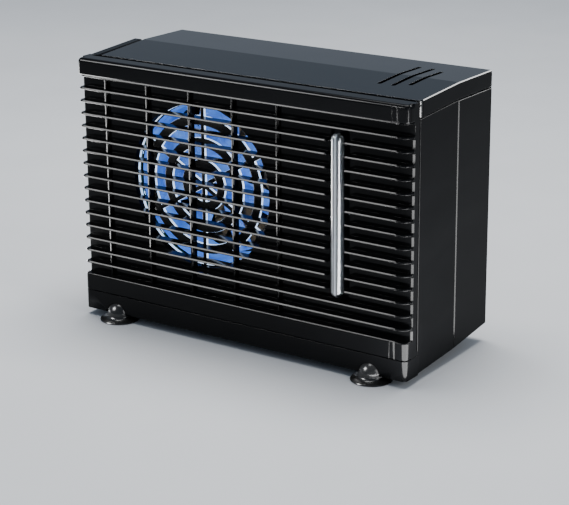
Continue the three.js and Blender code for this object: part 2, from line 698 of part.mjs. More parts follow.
// Room in the case's floor for one domed foot.
function footPocket(x, y) {
  const dome = new THREE.SphereGeometry(FOOT_R + GAP, 20, 10).rotateX(Math.PI / 2);
  return body(dome.translate(x, y, footCentreZ(y)));
}

function footCentreZ(y) {
  return baseAt(y) - 0.4;
}

// Domed rubber foot on a wide thin flange with a flat sole.
function foot(x, y) {
  const centre = footCentreZ(y);
  const outlinePoints = [[0, 0], [FLANGE_R, 0], [FLANGE_R, FLANGE_EDGE]];
  const flareSteps = 4;
  for (let i = 1; i < flareSteps; i += 1) {
    const t = i / flareSteps;
    outlinePoints.push([mix(FOOT_R, FLANGE_R, (1 - t) ** 2), mix(FLANGE_EDGE, centre, t ** 1.5)]);
  }
  const domeSteps = 6;
  for (let i = 0; i < domeSteps; i += 1) {
    const angle = (i / domeSteps) * Math.PI / 2;
    outlinePoints.push([FOOT_R * Math.cos(angle), centre + FOOT_R * Math.sin(angle)]);
  }
  outlinePoints.push([0, centre + FOOT_R]);
  return body(turned(outlinePoints).translate(x, y, 0));
}

// ---------------------------------------------------------------- fan and motor

// Duct round the rotor, with screw ears and four struts to the motor carrier.
function fanShroud() {
  const earBack = SHROUD_FRONT_Y + EAR_THICKNESS;
  let shroud = fanRing(SHROUD_BORE_R, SHROUD_OUTER_R, SHROUD_FRONT_Y, SHROUD_BACK_Y);
  for (const [x, z] of shroudScrewPlaces()) {
    const rootX = mix(FAN_X, x, 0.7);
    const web = block(Math.min(x, rootX), Math.max(x, rootX), SHROUD_FRONT_Y, earBack, z - 3, z + 3);
    const ear = rod('y', POST_R + 1, SHROUD_FRONT_Y, earBack, [x, z], 20);
    shroud = join(shroud, ear, web);
  }
  shroud = cut(shroud, rod('y', SHROUD_BORE_R, SHROUD_FRONT_Y - 1, SHROUD_BACK_Y + 1, [FAN_X, FAN_Z], 40));
  for (const [x, z] of shroudScrewPlaces()) {
    shroud = cut(shroud, rod('y', EAR_HOLE_R, SHROUD_FRONT_Y - PAST, earBack + PAST, [x, z], 12));
  }
  const strutLength = 2 * SHROUD_OUTER_R - 3;
  for (let i = 0; i < 2; i += 1) {
    const bar = new THREE.BoxGeometry(strutLength, STRUT_DEPTH, STRUT_WIDTH)
      .rotateY(Math.PI / 4 + i * Math.PI / 2)
      .translate(FAN_X, SHROUD_BACK_Y - STRUT_DEPTH / 2, FAN_Z);
    shroud = join(shroud, body(bar));
  }
  const [front, back] = [SHROUD_BACK_Y - STRUT_DEPTH, SHROUD_BACK_Y - STRUT_DEPTH + CARRIER_DEPTH];
  shroud = join(shroud, rod('y', MOTOR_R + CARRIER_WALL, front, back, [FAN_X, FAN_Z], 32));
  return cut(shroud, rod('y', MOTOR_R + GAP, front - PAST, back + PAST, [FAN_X, FAN_Z], 32));
}

// One fan blade: a cambered plate, set at a constant pitch and cut round at the tip.
function blade(angle) {
  const across = 4; // steps across the chord
  const arc = (side) => Array.from({ length: across + 1 }, (_, k) => {
    const u = side > 0 ? k / across : 1 - k / across;
    return [(u - 0.5) * BLADE_CHORD, BLADE_CAMBER * (1 - (2 * u - 1) ** 2) + side * BLADE_THICKNESS / 2];
  });
  const section = outline([...arc(1).reverse(), ...arc(-1).reverse()]);
  const plate = new THREE.ExtrudeGeometry(section, { depth: BLADE_TIP_R, bevelEnabled: false });
  plate.rotateZ(BLADE_PITCH).rotateY(angle);
  plate.translate(FAN_X, ROTOR_FRONT_Y + (ROTOR_DEPTH - BLADE_CAMBER) / 2, FAN_Z);
  const span = fanRing(HUB_R - 0.9, BLADE_TIP_R, ROTOR_FRONT_Y - 5, ROTOR_FRONT_Y + ROTOR_DEPTH + 5, 42);
  return body(plate).intersect(span);
}

// Seven-bladed rotor with a cupped hub.
function fanRotor() {
  const back = ROTOR_FRONT_Y + ROTOR_DEPTH;
  let rotor = rod('y', HUB_R, ROTOR_FRONT_Y, back, [FAN_X, FAN_Z], 32);
  for (let i = 0; i < BLADE_COUNT; i += 1) rotor = join(rotor, blade(i * 2 * Math.PI / BLADE_COUNT));
  rotor = cut(rotor, fanRing(HUB_BOSS_R, HUB_R - HUB_WALL, ROTOR_FRONT_Y + 2, back + 4, 32));
  return cut(rotor, rod('y', SHAFT_R + RUNNING_CLEARANCE, ROTOR_FRONT_Y + 1.5, back + 1, [FAN_X, FAN_Z], 16));
}

function motorCan() {
  let can = rod('y', MOTOR_R, MOTOR_FRONT_Y, MOTOR_BACK_Y, [FAN_X, FAN_Z], 32);
  can = cut(can, rod('y', MOTOR_R - CAN_WALL, MOTOR_FRONT_Y + 1.2, MOTOR_BACK_Y + PAST, [FAN_X, FAN_Z], 32));
  return cut(can,
    rod('y', BEARING_R + PRESS_GAP, MOTOR_FRONT_Y - PAST, MOTOR_FRONT_Y + 2, [FAN_X, FAN_Z], 20));
}

function motorEndCap() {
  const y0 = MOTOR_BACK_Y + GAP;
  let cap = join(
    rod('y', MOTOR_R, y0, y0 + CAP_THICKNESS, [FAN_X, FAN_Z], 32),
    rod('y', BEARING_R + 1.5, y0, y0 + CAP_BOSS_DEPTH, [FAN_X, FAN_Z], 20),
  );
  for (const side of [-1, 1]) {
    const x = FAN_X + side * TERMINAL_X;
    cap = join(cap, block(x - 1.4, x + 1.4, y0 + 1, y0 + 5, FAN_Z - 0.4, FAN_Z + 0.4));
  }
  return cut(cap, rod('y', BEARING_R + PRESS_GAP, y0 - PAST, y0 + 3.6, [FAN_X, FAN_Z], 20));
}

function bearing(y0, y1) {
  return cut(rod('y', BEARING_R, y0, y1, [FAN_X, FAN_Z], 20),
    rod('y', SHAFT_R + RUNNING_CLEARANCE, y0 - 1, y1 + 1, [FAN_X, FAN_Z], 16));
}

// Three-pole armature on the shaft.
function armature() {
  const [y0, y1] = [MOTOR_FRONT_Y + 5, MOTOR_BACK_Y - 5];
  let core = rod('y', CORE_R, y0 - 1, y1 + 1, [FAN_X, FAN_Z], 20);
  for (let i = 0; i < POLE_COUNT; i += 1) {
    const angle = i * 2 * Math.PI / POLE_COUNT;
    const arm = new THREE.BoxGeometry(3, y1 - y0, 8).translate(0, 0, 4)
      .rotateY(angle).translate(FAN_X, (y0 + y1) / 2, FAN_Z);
    core = join(core, body(arm));
    const shoe = fanRing(POLE_SHOE_INNER_R, POLE_SHOE_R, y0, y1, 36);
    const sector = new THREE.BoxGeometry(11, y1 - y0 + 2, 9).translate(0, 0, 7.5)
      .rotateY(angle).translate(FAN_X, (y0 + y1) / 2, FAN_Z);
    core = join(core, shoe.intersect(body(sector)));
  }
  return cut(core, rod('y', SHAFT_R + RUNNING_CLEARANCE, y0 - 2, y1 + 2, [FAN_X, FAN_Z], 16));
}

function magnet(side) {
  const ring = fanRing(MAGNET_INNER_R, MOTOR_R - CAN_WALL - GAP, MOTOR_FRONT_Y + 4, MOTOR_BACK_Y - 4, 32);
  const reach = MOTOR_R + PAST;
  const [x0, x1] = side < 0 ? [FAN_X - reach, FAN_X - MAGNET_SLIT] : [FAN_X + MAGNET_SLIT, FAN_X + reach];
  return ring.intersect(block(x0, x1, MOTOR_FRONT_Y, MOTOR_BACK_Y, FAN_Z - reach, FAN_Z + reach));
}

// Ring board with blue lamps that shine back on to the blades.
function lampRing() {
  const y0 = GUARD_FRONT_Y + GUARD_THICKNESS + GAP;
  const innerR = BLADE_TIP_R + 2.6;
  let ring = fanRing(innerR, GUARD_OUTER_R - 1.6, y0, y0 + LAMP_BOARD_THICKNESS);
  for (let i = 0; i < LAMP_COUNT; i += 1) {
    const angle = (i + 0.5) * 2 * Math.PI / LAMP_COUNT;
    const lamp = new THREE.BoxGeometry(...LAMP_SIZE).rotateY(-angle + Math.PI / 2);
    const radius = innerR - 0.4;
    ring = join(ring, body(lamp.translate(
      FAN_X + radius * Math.cos(angle), y0 + 0.8, FAN_Z + radius * Math.sin(angle))));
  }
  return ring;
}

// ---------------------------------------------------------------- water

function waterTank() {
  let tank = block(TANK_LEFT_X, TANK_RIGHT_X, TANK_FRONT_Y, TANK_BACK_Y, TANK_LOW_Z, TANK_HIGH_Z);
  tank = cut(tank, block(TANK_LEFT_X + TANK_WALL, TANK_RIGHT_X - TANK_WALL, TANK_FRONT_Y + TANK_WALL,
    TANK_BACK_Y - TANK_WALL, TANK_LOW_Z + TANK_WALL, TANK_HIGH_Z + 1));
  for (const z of portHeights) {
    tank = cut(tank,
      rod('y', PORT_R + PRESS_GAP, TANK_FRONT_Y - PAST, TANK_FRONT_Y + TANK_WALL + PAST, [TUBE_X, z], 16));
  }
  return cut(tank,
    rod('x', OUTLET_R + 0.2, TANK_LEFT_X - PAST, TANK_LEFT_X + TANK_WALL + PAST, outletPlace(), 16));
}

function outletPlace() {
  return [TANK_BACK_Y - OUTLET_INSET, TANK_LOW_Z + OUTLET_INSET];
}

// Pipe that feeds the tray from the tank.
function tankOutlet() {
  const end = TANK_LEFT_X - OUTLET_REACH;
  const collar = rod('x', OUTLET_COLLAR_R, end, TANK_LEFT_X - GAP, outletPlace(), 20);
  const pipe = rod('x', OUTLET_R, end, TANK_LEFT_X + TANK_WALL + 1.2, outletPlace(), 16);
  return cut(join(pipe, collar), rod('x', OUTLET_BORE_R, end - PAST, TANK_LEFT_X + 5, outletPlace(), 16));
}

// Shallow trough under the pad.
function dripTray() {
  const [x0, x1] = [FAN_X - PAD_HALF_WIDTH - TRAY_MARGIN, TANK_LEFT_X - OUTLET_REACH - 0.4];
  const [y0, y1] = [TRAY_FRONT_Y, REAR_Y - WALL - GAP];
  const trough = block(x0 + TRAY_WALL, x1 - TRAY_WALL, y0 + TRAY_WALL, y1 - TRAY_WALL,
    TRAY_LOW_Z + TRAY_WALL, TRAY_HIGH_Z + PAST);
  const tray = cut(block(x0, x1, y0, y1, TRAY_LOW_Z, TRAY_HIGH_Z), trough);
  return cut(tray, rod('x', OUTLET_BORE_R, x1 - TRAY_WALL - PAST, x1 + PAST, outletPlace(), 16));
}

function evaporativePad() {
  return block(FAN_X - PAD_HALF_WIDTH, FAN_X + PAD_HALF_WIDTH, PAD_FRONT_Y, PAD_BACK_Y,
    PAD_LOW_Z, PAD_HIGH_Z);
}

// Upside-down U that holds the pad's edges.
function padFrame() {
  const innerHalf = PAD_HALF_WIDTH + GAP;
  const outerHalf = innerHalf + FRAME_WIDTH;
  const openHalf = innerHalf - FRAME_LIP;
  const [y0, y1] = [PAD_FRONT_Y - FRAME_LIP_THICKNESS, PAD_BACK_Y + FRAME_LIP_THICKNESS];
  const bar = block(FAN_X - outerHalf, FAN_X + outerHalf, y0, y1,
    TRAY_HIGH_Z + 1, PAD_HIGH_Z + GAP + FRAME_WIDTH);
  return cut(bar,
    block(FAN_X - innerHalf, FAN_X + innerHalf, PAD_FRONT_Y - GAP, PAD_BACK_Y + GAP, 0, PAD_HIGH_Z + GAP),
    block(FAN_X - openHalf, FAN_X + openHalf, y0 - PAST, y1 + PAST, 0, PAD_HIGH_Z - FRAME_LIP));
}

// ---------------------------------------------------------------- back

// Louvred plug in the rear wall's opening, with a flange outside it.
function intakeGrille() {
  const flange = INTAKE_HALF + INTAKE_FLANGE;
  const plug = INTAKE_HALF - GAP;
  const clear = plug - INTAKE_FRAME;
  const outside = REAR_Y + GAP;
  const rimBack = outside + INTAKE_FLANGE_THICKNESS;
  let grille = join(
    block(FAN_X - flange, FAN_X + flange, outside, rimBack, FAN_Z - flange, FAN_Z + flange),
    block(FAN_X - plug, FAN_X + plug, REAR_Y - WALL, outside + 1, FAN_Z - plug, FAN_Z + plug),
  );
  grille = cut(grille, block(FAN_X - clear, FAN_X + clear, REAR_Y - WALL - PAST, rimBack + PAST,
    FAN_Z - clear, FAN_Z + clear));
  for (let i = 0; i < SLAT_COUNT; i += 1) {
    const z = FAN_Z - clear + (i + 1) * 2 * clear / (SLAT_COUNT + 1);
    const slat = new THREE.BoxGeometry(2 * clear + 1, SLAT_DEPTH, SLAT_THICKNESS)
      .rotateX(SLAT_TILT)
      .translate(FAN_X, REAR_Y - 0.4, z);
    grille = join(grille, body(slat));
  }
  for (const side of [-1, 1]) {
    const x = FAN_X + side * clear / 3;
    grille = join(grille, block(x - 1, x + 1, REAR_Y - WALL, REAR_Y + 0.4,
      FAN_Z - clear - 1, FAN_Z + clear + 1));
  }
  return grille;
}

const SWITCH_WALL = 1.2;

// Switch housing with three blade terminals.
function switchBody() {
  const outside = REAR_Y + GAP;
  const [halfX, halfZ] = [SWITCH_HALF_WIDTH - GAP, SWITCH_HALF_HEIGHT - GAP];
  let housing = join(
    block(CONTROL_X - halfX - FLANGE_RIM, CONTROL_X + halfX + FLANGE_RIM, outside, outside + FLANGE_RIM,
      SWITCH_Z - halfZ - FLANGE_RIM, SWITCH_Z + halfZ + FLANGE_RIM),
    block(CONTROL_X - halfX, CONTROL_X + halfX, REAR_Y - 12, outside + 1, SWITCH_Z - halfZ, SWITCH_Z + halfZ),
  );
  for (const dz of [-5, 0, 5]) {
    housing = join(housing, block(CONTROL_X - 1.2, CONTROL_X + 1.2, REAR_Y - 17, REAR_Y - 11,
      SWITCH_Z + dz - 0.4, SWITCH_Z + dz + 0.4));
  }
  return cut(housing, block(
    CONTROL_X - halfX + SWITCH_WALL, CONTROL_X + halfX - SWITCH_WALL, REAR_Y - 7, outside + 3,
    SWITCH_Z - halfZ + SWITCH_WALL, SWITCH_Z + halfZ - SWITCH_WALL));
}

// Rocker that tips about a level axis in the switch's mouth.
function rocker() {
  const halfX = SWITCH_HALF_WIDTH - GAP - SWITCH_WALL - 0.35;
  const root = ROCKER_HALF_HEIGHT - 0.5;
  const profile = [
    [REAR_Y - 1, -root], [ROCKER_FACE_Y, -ROCKER_HALF_HEIGHT], [ROCKER_FACE_Y - 0.9, 0],
    [ROCKER_FACE_Y, ROCKER_HALF_HEIGHT], [REAR_Y - 1, root], [REAR_Y - 3.2, 0],
  ];
  return sideProfile(profile.map(([y, z]) => [y, SWITCH_Z + z]), CONTROL_X - halfX, CONTROL_X + halfX);
}

// Threaded barrel inlet with a centre pin.
function powerInlet() {
  const outside = REAR_Y + GAP;
  const at = [CONTROL_X, INLET_Z];
  let inlet = join(
    rod('y', INLET_R + FLANGE_RIM, outside, outside + FLANGE_RIM, at, 24),
    rod('y', INLET_R - GAP, REAR_Y - 11, outside + 1, at, 24),
  );
  inlet = cut(inlet, rod('y', INLET_BORE_R, REAR_Y - 8, outside + 3, at, 24));
  for (const dx of [-1.6, 1.6]) {
    inlet = join(inlet, block(CONTROL_X + dx - 0.7, CONTROL_X + dx + 0.7, REAR_Y - 15, REAR_Y - 10,
      INLET_Z - 0.3, INLET_Z + 0.3));
  }
  return join(inlet, rod('y', INLET_PIN_R, REAR_Y - 9, REAR_Y - 0.5, at, 16));
}

// Hexagonal nut on the inlet's barrel, inside the wall.
function inletNut() {
  const y1 = REAR_Y - WALL - GAP;
  return cut(rod('y', INLET_R + 2.2, y1 - 2, y1, [CONTROL_X, INLET_Z], 6),
    rod('y', INLET_R, y1 - 3, y1 + 1, [CONTROL_X, INLET_Z], 24));
}

// Circuit board with a terminal block, a driver chip and a capacitor; two mounting holes.
function controlBoard() {
  const [x0, x1] = BOARD_X;
  const [z0, z1] = BOARD_Z;
  const face = BOARD_Y + BOARD_THICKNESS;
  const seat = face - PRESS_GAP;
  let pcb = block(x0, x1, BOARD_Y, face, z0, z1);
  pcb = join(pcb,
    block(x0 + 4, x0 + 12, seat, face + 6, z0 + 6, z0 + 16),
    block(x1 - 10, x1 - 4, seat, face + 3, z1 - 22, z1 - 12),
    rod('y', 3, seat, face + 8, [x0 + 8, z1 - 16], 16));
  for (const z of [z0 + 3, z1 - 3]) {
    pcb = cut(pcb, rod('y', 1.4, BOARD_Y - PAST, face + PAST, [x1 - 3, z], 12));
  }
  return pcb;
}

// Screw along Y with its head at the back.
function screw(x, z, headY, { length, shankR, headR, headHeight }) {
  const shape = join(
    rod('y', shankR, headY - length, headY + 0.2, [x, z], 8),
    rod('y', headR, headY, headY + headHeight, [x, z], 12),
  );
  const slot = headR * 0.6;
  return cut(shape,
    block(x - slot, x + slot, headY + headHeight * 0.5, headY + headHeight + 1, z - 0.3, z + 0.3),
    block(x - 0.3, x + 0.3, headY + headHeight * 0.5, headY + headHeight + 1, z - slot, z + slot));
}

// ---------------------------------------------------------------- assembly

node('front_grille', frontGrille(), gloss());
node('fan_guard', fanGuard(), satin());
node('front_shell', frontShell(), gloss());
node('rear_shell', rearShell(), gloss());
node('lid', lid(), satin());
node('sight_tube', sightTube(), clearPlastic());
node('tube_port_lower', tubePort(portHeights[0]), rubber());
node('tube_port_upper', tubePort(portHeights[1]), rubber());

HINGE_XS.forEach((x, i) => {
  const reach = HINGE_LENGTH / 2 + LUG_LENGTH;
  node(['hinge_pin_left', 'hinge_pin_right'][i],
    rod('x', PIN_R, x - reach, x + reach, [HINGE_Y, HINGE_Z], 16), steel());
});

for (const [side, x] of [['left', -FOOT_X], ['right', FOOT_X]]) {
  node(`foot_front_${side}`, foot(x, FRONT_FOOT_Y), rubber());
  node(`foot_rear_${side}`, foot(x, REAR_FOOT_Y), rubber());
}

node('fan_shroud', fanShroud(), satin());
node('fan_rotor', fanRotor(), blue());
node('motor_shaft', rod('y', SHAFT_R, ROTOR_FRONT_Y + 2, MOTOR_BACK_Y + 3.4, [FAN_X, FAN_Z], 16), steel());
node('motor_armature', armature(), steel());
node('motor_can', motorCan(), steel());
node('motor_magnet_left', magnet(-1), rubber());
node('motor_magnet_right', magnet(1), rubber());
node('motor_end_cap', motorEndCap(), satin());
node('motor_bearing_front', bearing(MOTOR_FRONT_Y - 1, MOTOR_FRONT_Y + 3), brass());
node('motor_bearing_rear', bearing(MOTOR_BACK_Y + 0.4, MOTOR_BACK_Y + 3.6), brass());
node('lamp_ring', lampRing(), blue());

node('water_tank', waterTank(), tankPlastic());
node('tank_outlet', tankOutlet(), rubber());
node('drip_tray', dripTray(), satin());
node('evaporative_pad', evaporativePad(), finish(0xb9b39c, 0.95));
node('pad_frame', padFrame(), satin());

node('intake_grille', intakeGrille(), satin());
node('switch_body', switchBody(), satin());
node('switch_rocker', rocker(), gloss());
node('power_inlet', powerInlet(), satin());
node('inlet_nut', inletNut(), steel());
node('control_board', controlBoard(), board());

// the leads run from the motor's terminals to the board's left edge
const motorTerminalY = MOTOR_BACK_Y + GAP + 6;
const LEAD_R = 0.7;
const redPath = [
  [FAN_X + TERMINAL_X, motorTerminalY, FAN_Z], [FAN_X + 22, 68, FAN_Z + 4], [20, 69, 80], [40, 69.5, 70],
  [49, 70.8, 66],
];
const blackPath = [
  [FAN_X - TERMINAL_X, motorTerminalY, FAN_Z], [FAN_X + 2, 69, FAN_Z - 16], [12, 69, 62], [36, 69.5, 58],
  [49, 70.8, 58],
];
node('motor_lead_red', wire(redPath, LEAD_R), finish(0xb01818, 0.5));
node('motor_lead_black', wire(blackPath, LEAD_R), rubber());

let caseScrew = 0;
for (const x of [SCREW_LEFT_X, SCREW_RIGHT_X]) {
  for (const z of SCREW_ZS) {
    caseScrew += 1;
    node(`case_screw_${caseScrew}`,
      screw(x, z, HEAD_SEAT_Y + 0.2, {
        length: CASE_SCREW_LENGTH, shankR: SCREW_SHANK_R, headR: SCREW_HEAD_R, headHeight: CASE_SCREW_HEAD,
      }), steel());
  }
}
shroudScrewPlaces().forEach(([x, z], i) => {
  const headY = SHROUD_FRONT_Y + EAR_THICKNESS + 0.2;
  node(`shroud_screw_${i + 1}`, screw(x, z, headY, SHROUD_SCREW), steel());
});

model.position.y = -ORIGIN_Y;

export default model;
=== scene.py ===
import json
import math

import bmesh
import bpy
from mathutils import Matrix, Vector


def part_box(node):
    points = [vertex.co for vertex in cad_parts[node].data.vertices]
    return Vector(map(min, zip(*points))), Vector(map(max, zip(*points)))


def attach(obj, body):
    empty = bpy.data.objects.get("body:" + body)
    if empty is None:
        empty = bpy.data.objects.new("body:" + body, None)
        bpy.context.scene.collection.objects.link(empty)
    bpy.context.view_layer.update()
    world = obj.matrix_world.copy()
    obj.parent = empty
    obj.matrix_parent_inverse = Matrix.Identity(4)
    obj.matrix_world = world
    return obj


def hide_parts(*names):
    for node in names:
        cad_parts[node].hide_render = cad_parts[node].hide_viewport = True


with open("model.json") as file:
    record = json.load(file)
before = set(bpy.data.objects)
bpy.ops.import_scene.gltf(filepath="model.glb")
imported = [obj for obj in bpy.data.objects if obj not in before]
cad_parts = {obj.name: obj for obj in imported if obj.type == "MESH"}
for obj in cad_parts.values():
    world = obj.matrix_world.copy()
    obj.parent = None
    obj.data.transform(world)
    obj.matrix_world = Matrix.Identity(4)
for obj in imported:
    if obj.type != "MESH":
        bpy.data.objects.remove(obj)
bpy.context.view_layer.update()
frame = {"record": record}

MM = 0.001

# ---------------------------------------------------------------- camera

CAMERA_TARGET = Vector((0.0066, -0.0053, 0.0490))
CAMERA_AZIMUTH = 34.64   # degrees to the object's right of straight ahead
CAMERA_ELEVATION = 17.87
CAMERA_ROLL = -0.43
CAMERA_DISTANCE = 1.085
CAMERA_LENS = 118.2      # on a 36 mm sensor


def make_camera():
    azimuth, elevation = math.radians(CAMERA_AZIMUTH), math.radians(CAMERA_ELEVATION)
    back = Vector((
        math.sin(azimuth) * math.cos(elevation),
        -math.cos(azimuth) * math.cos(elevation),
        math.sin(elevation),
    ))
    data = bpy.data.cameras.new("camera")
    data.sensor_width = 36
    data.lens = CAMERA_LENS
    data.clip_start, data.clip_end = 0.01, 50
    camera = bpy.data.objects.new("camera", data)
    bpy.context.collection.objects.link(camera)
    camera.location = CAMERA_TARGET + back * CAMERA_DISTANCE
    turn = (-back).to_track_quat("-Z", "Y").to_matrix()
    camera.rotation_euler = (turn @ Matrix.Rotation(math.radians(CAMERA_ROLL), 3, "Z")).to_euler()
    bpy.context.scene.camera = camera


make_camera()

# ---------------------------------------------------------------- materials


class Nodes:
    """A material's node tree, with short calls for the nodes used here."""

    def __init__(self, name):
        self.material = bpy.data.materials.new(name)
        self.material.use_nodes = True
        self.tree = self.material.node_tree
        self.shader = self.tree.nodes["Principled BSDF"]
        self.place = self.tree.nodes.new("ShaderNodeTexCoord").outputs["Object"]

    def set(self, **values):
        for key, value in values.items():
            self.shader.inputs[key.replace("_", " ")].default_value = value

    def link(self, output, socket):
        self.tree.links.new(output, self.shader.inputs[socket])

    def noise(self, scale, detail=3, roughness=0.55, stretch=(1, 1, 1), distortion=0):
        mapping = self.tree.nodes.new("ShaderNodeMapping")
        mapping.inputs["Scale"].default_value = stretch
        self.tree.links.new(self.place, mapping.inputs["Vector"])
        texture = self.tree.nodes.new("ShaderNodeTexNoise")
        texture.inputs["Scale"].default_value = scale
        texture.inputs["Detail"].default_value = detail
        texture.inputs["Roughness"].default_value = roughness
        texture.inputs["Distortion"].default_value = distortion
        self.tree.links.new(mapping.outputs["Vector"], texture.inputs["Vector"])
        return texture.outputs["Fac"]

    def ramp(self, factor, low, high, start=0.3, end=0.7):
        node = self.tree.nodes.new("ShaderNodeValToRGB")
        first, last = node.color_ramp.elements
        first.position, last.position = start, end
        first.color, last.color = low, high
        self.tree.links.new(factor, node.inputs["Fac"])
        return node.outputs["Color"]

    def spread(self, factor, low, high):
        node = self.tree.nodes.new("ShaderNodeMapRange")
        node.inputs["From Min"].default_value = 0.3
        node.inputs["From Max"].default_value = 0.7
        node.inputs["To Min"].default_value = low
        node.inputs["To Max"].default_value = high
        self.tree.links.new(factor, node.inputs["Value"])
        return node.outputs["Result"]

    def bump(self, *layers, edge=0.0):
        """Each layer is (height, distance in metres, strength); edge is the radius of softened corners."""
        normal = None
        if edge:
            corner = self.tree.nodes.new("ShaderNodeBevel")
            corner.samples = 4
            corner.inputs["Radius"].default_value = edge
            normal = corner.outputs["Normal"]
        for height, distance, strength in layers:
            node = self.tree.nodes.new("ShaderNodeBump")
            node.inputs["Distance"].default_value = distance
            node.inputs["Strength"].default_value = strength
            self.tree.links.new(height, node.inputs["Height"])
            if normal is not None:
                self.tree.links.new(normal, node.inputs["Normal"])
            normal = node.outputs["Normal"]
        self.link(normal, "Normal")


def grey(value, tint=0.0):
    """A near-neutral colour; a positive tint leans to blue."""
    return (value * (1 - tint), value * (1 - tint * 0.4), value * (1 + tint), 1)


def moulded_plastic(name, value, roughness, grain, tint=0.08, specular=0.4, edge=0.35):
    """Injection-moulded plastic: flow shading, uneven gloss, fine grain and softened corners."""
    n = Nodes(name)
    flow = n.noise(14, 4, 0.6, (1, 1, 2.4), 0.4)
    n.link(n.ramp(flow, grey(value * 0.75, tint), grey(value * 1.3, tint)), "Base Color")
    n.link(n.spread(n.noise(60, 5, 0.62), roughness * 0.85, roughness * 1.2), "Roughness")
    n.set(Specular_IOR_Level=specular)
    n.bump((n.noise(2600, 2, 0.5), grain * MM, 0.25), (n.noise(70, 2, 0.5), 0.02 * MM, 0.10), edge=edge * MM)
    return n.material


def rubber_material():
    n = Nodes("soft_rubber")
    n.link(n.ramp(n.noise(60, 4), grey(0.004), grey(0.010)), "Base Color")
    n.link(n.spread(n.noise(180, 4), 0.16, 0.26), "Roughness")
    n.set(Specular_IOR_Level=0.45)
    n.bump((n.noise(900, 3), 0.015 * MM, 0.25))
    return n.material


def metal(name, color, roughness, stretch=(1, 1, 1)):
    n = Nodes(name)
    dark = tuple(c * 0.7 for c in color[:3]) + (1,)
    n.link(n.ramp(n.noise(220, 4, 0.6, stretch), dark, color), "Base Color")
    n.link(n.spread(n.noise(500, 3, 0.6, stretch), roughness * 0.7, roughness * 1.4), "Roughness")
    n.set(Metallic=1.0)
    n.bump((n.noise(900, 2, 0.5, stretch), 0.02 * MM, 0.4))
    return n.material


def clear_acrylic():
    n = Nodes("clear_acrylic")
    n.link(n.ramp(n.noise(30, 3), (0.86, 0.90, 0.92, 1), (0.97, 0.98, 0.99, 1)), "Base Color")
    n.link(n.spread(n.noise(70, 4, 0.6, (1, 1, 0.2)), 0.02, 0.10), "Roughness")
    n.set(IOR=1.49, Transmission_Weight=1.0)
    n.bump((n.noise(160, 2, 0.5, (1, 1, 0.15)), 0.05 * MM, 0.25))
    return n.material


# place across the column and brightness of each painted reflection stripe
PAINTED_REFLECTION_STRIPES = [(0.00, 0.20), (0.16, 0.75), (0.28, 0.10), (0.40, 0.55), (0.50, 0.06),
                  (0.58, 0.95), (0.68, 0.16), (0.80, 0.08), (0.90, 0.35), (1.00, 0.15)]


def painted_reflection_column(middle, radius):
    """Silvery water column: painted reflections, light and dark streaks that run its whole length."""
    n = Nodes("water_column_painted_reflections")
    split = n.tree.nodes.new("ShaderNodeSeparateXYZ")
    n.tree.links.new(n.place, split.inputs["Vector"])
    across = n.tree.nodes.new("ShaderNodeMapRange")
    across.inputs["From Min"].default_value = middle - radius
    across.inputs["From Max"].default_value = middle + radius
    n.tree.links.new(split.outputs["X"], across.inputs["Value"])
    wander = n.tree.nodes.new("ShaderNodeMath")
    wander.operation = "MULTIPLY_ADD"
    wander.inputs[1].default_value = 0.10
    n.tree.links.new(n.noise(45, 3, 0.5, (1, 1, 0.25)), wander.inputs[0])
    n.tree.links.new(across.outputs["Result"], wander.inputs[2])
    streaks = n.tree.nodes.new("ShaderNodeValToRGB")
    ramp = streaks.color_ramp
    ramp.elements[0].position, ramp.elements[0].color = PAINTED_REFLECTION_STRIPES[0][0], grey(PAINTED_REFLECTION_STRIPES[0][1], 0.04)
    ramp.elements[1].position, ramp.elements[1].color = PAINTED_REFLECTION_STRIPES[-1][0], grey(PAINTED_REFLECTION_STRIPES[-1][1], 0.04)
    for position, value in PAINTED_REFLECTION_STRIPES[1:-1]:
        ramp.elements.new(position).color = grey(value, 0.04)
    n.tree.links.new(wander.outputs["Value"], streaks.inputs["Fac"])
    n.link(streaks.outputs["Color"], "Base Color")
    n.link(n.spread(n.noise(90, 3, 0.6, (1, 1, 0.2)), 0.12, 0.25), "Roughness")
    n.set(Metallic=0.35)
    n.bump((n.noise(160, 2, 0.5, (1, 1, 0.15)), 0.03 * MM, 0.3))
    return n.material


def frosted_plastic():
    n = Nodes("frosted_plastic")
    n.link(n.ramp(n.noise(20, 4), (0.66, 0.72, 0.75, 1), (0.85, 0.89, 0.91, 1)), "Base Color")
    n.link(n.spread(n.noise(120, 4), 0.28, 0.48), "Roughness")
    n.set(IOR=1.49, Transmission_Weight=0.55)
    n.bump((n.noise(1200, 2), 0.03 * MM, 0.4))
    return n.material


def blue_plastic_painted_glow():
    """Translucent blue rotor plastic with a painted blue glow in cloudy patches all over, which stands in for
    light from the ring lamps.
    """
    n = Nodes("blue_plastic_painted_glow")
    cloud = n.noise(55, 3, 0.6, (1, 1, 1), 0.6)
    n.link(n.ramp(cloud, (0.03, 0.12, 0.55, 1), (0.20, 0.48, 0.95, 1)), "Base Color")
    n.link(n.spread(n.noise(140, 3), 0.15, 0.35), "Roughness")
    # painted glow: the emission stands in for the ring lamps' light on the rotor
    n.link(n.ramp(cloud, (0.02, 0.10, 0.50, 1), (0.22, 0.48, 1.0, 1), 0.35, 0.65), "Emission Color")
    n.set(Emission_Strength=0.38, Transmission_Weight=0.25, Subsurface_Weight=0.1)
    n.bump((n.noise(700, 2), 0.04 * MM, 0.3))
    return n.material


def painted_glow_plastic(name, low, high, strength, scale=60):
    """Plastic with a painted blue glow, which stands in for light from the blue lamps."""
    n = Nodes(name)
    cloud = n.noise(scale, 3, 0.6)
    n.link(n.ramp(cloud, low, high), "Base Color")
    n.link(n.spread(n.noise(150, 3), 0.2, 0.4), "Roughness")
    n.link(n.ramp(cloud, low, high, 0.35, 0.65), "Emission Color")
    n.set(Emission_Strength=strength)
    n.bump((n.noise(700, 2), 0.03 * MM, 0.3))
    return n.material


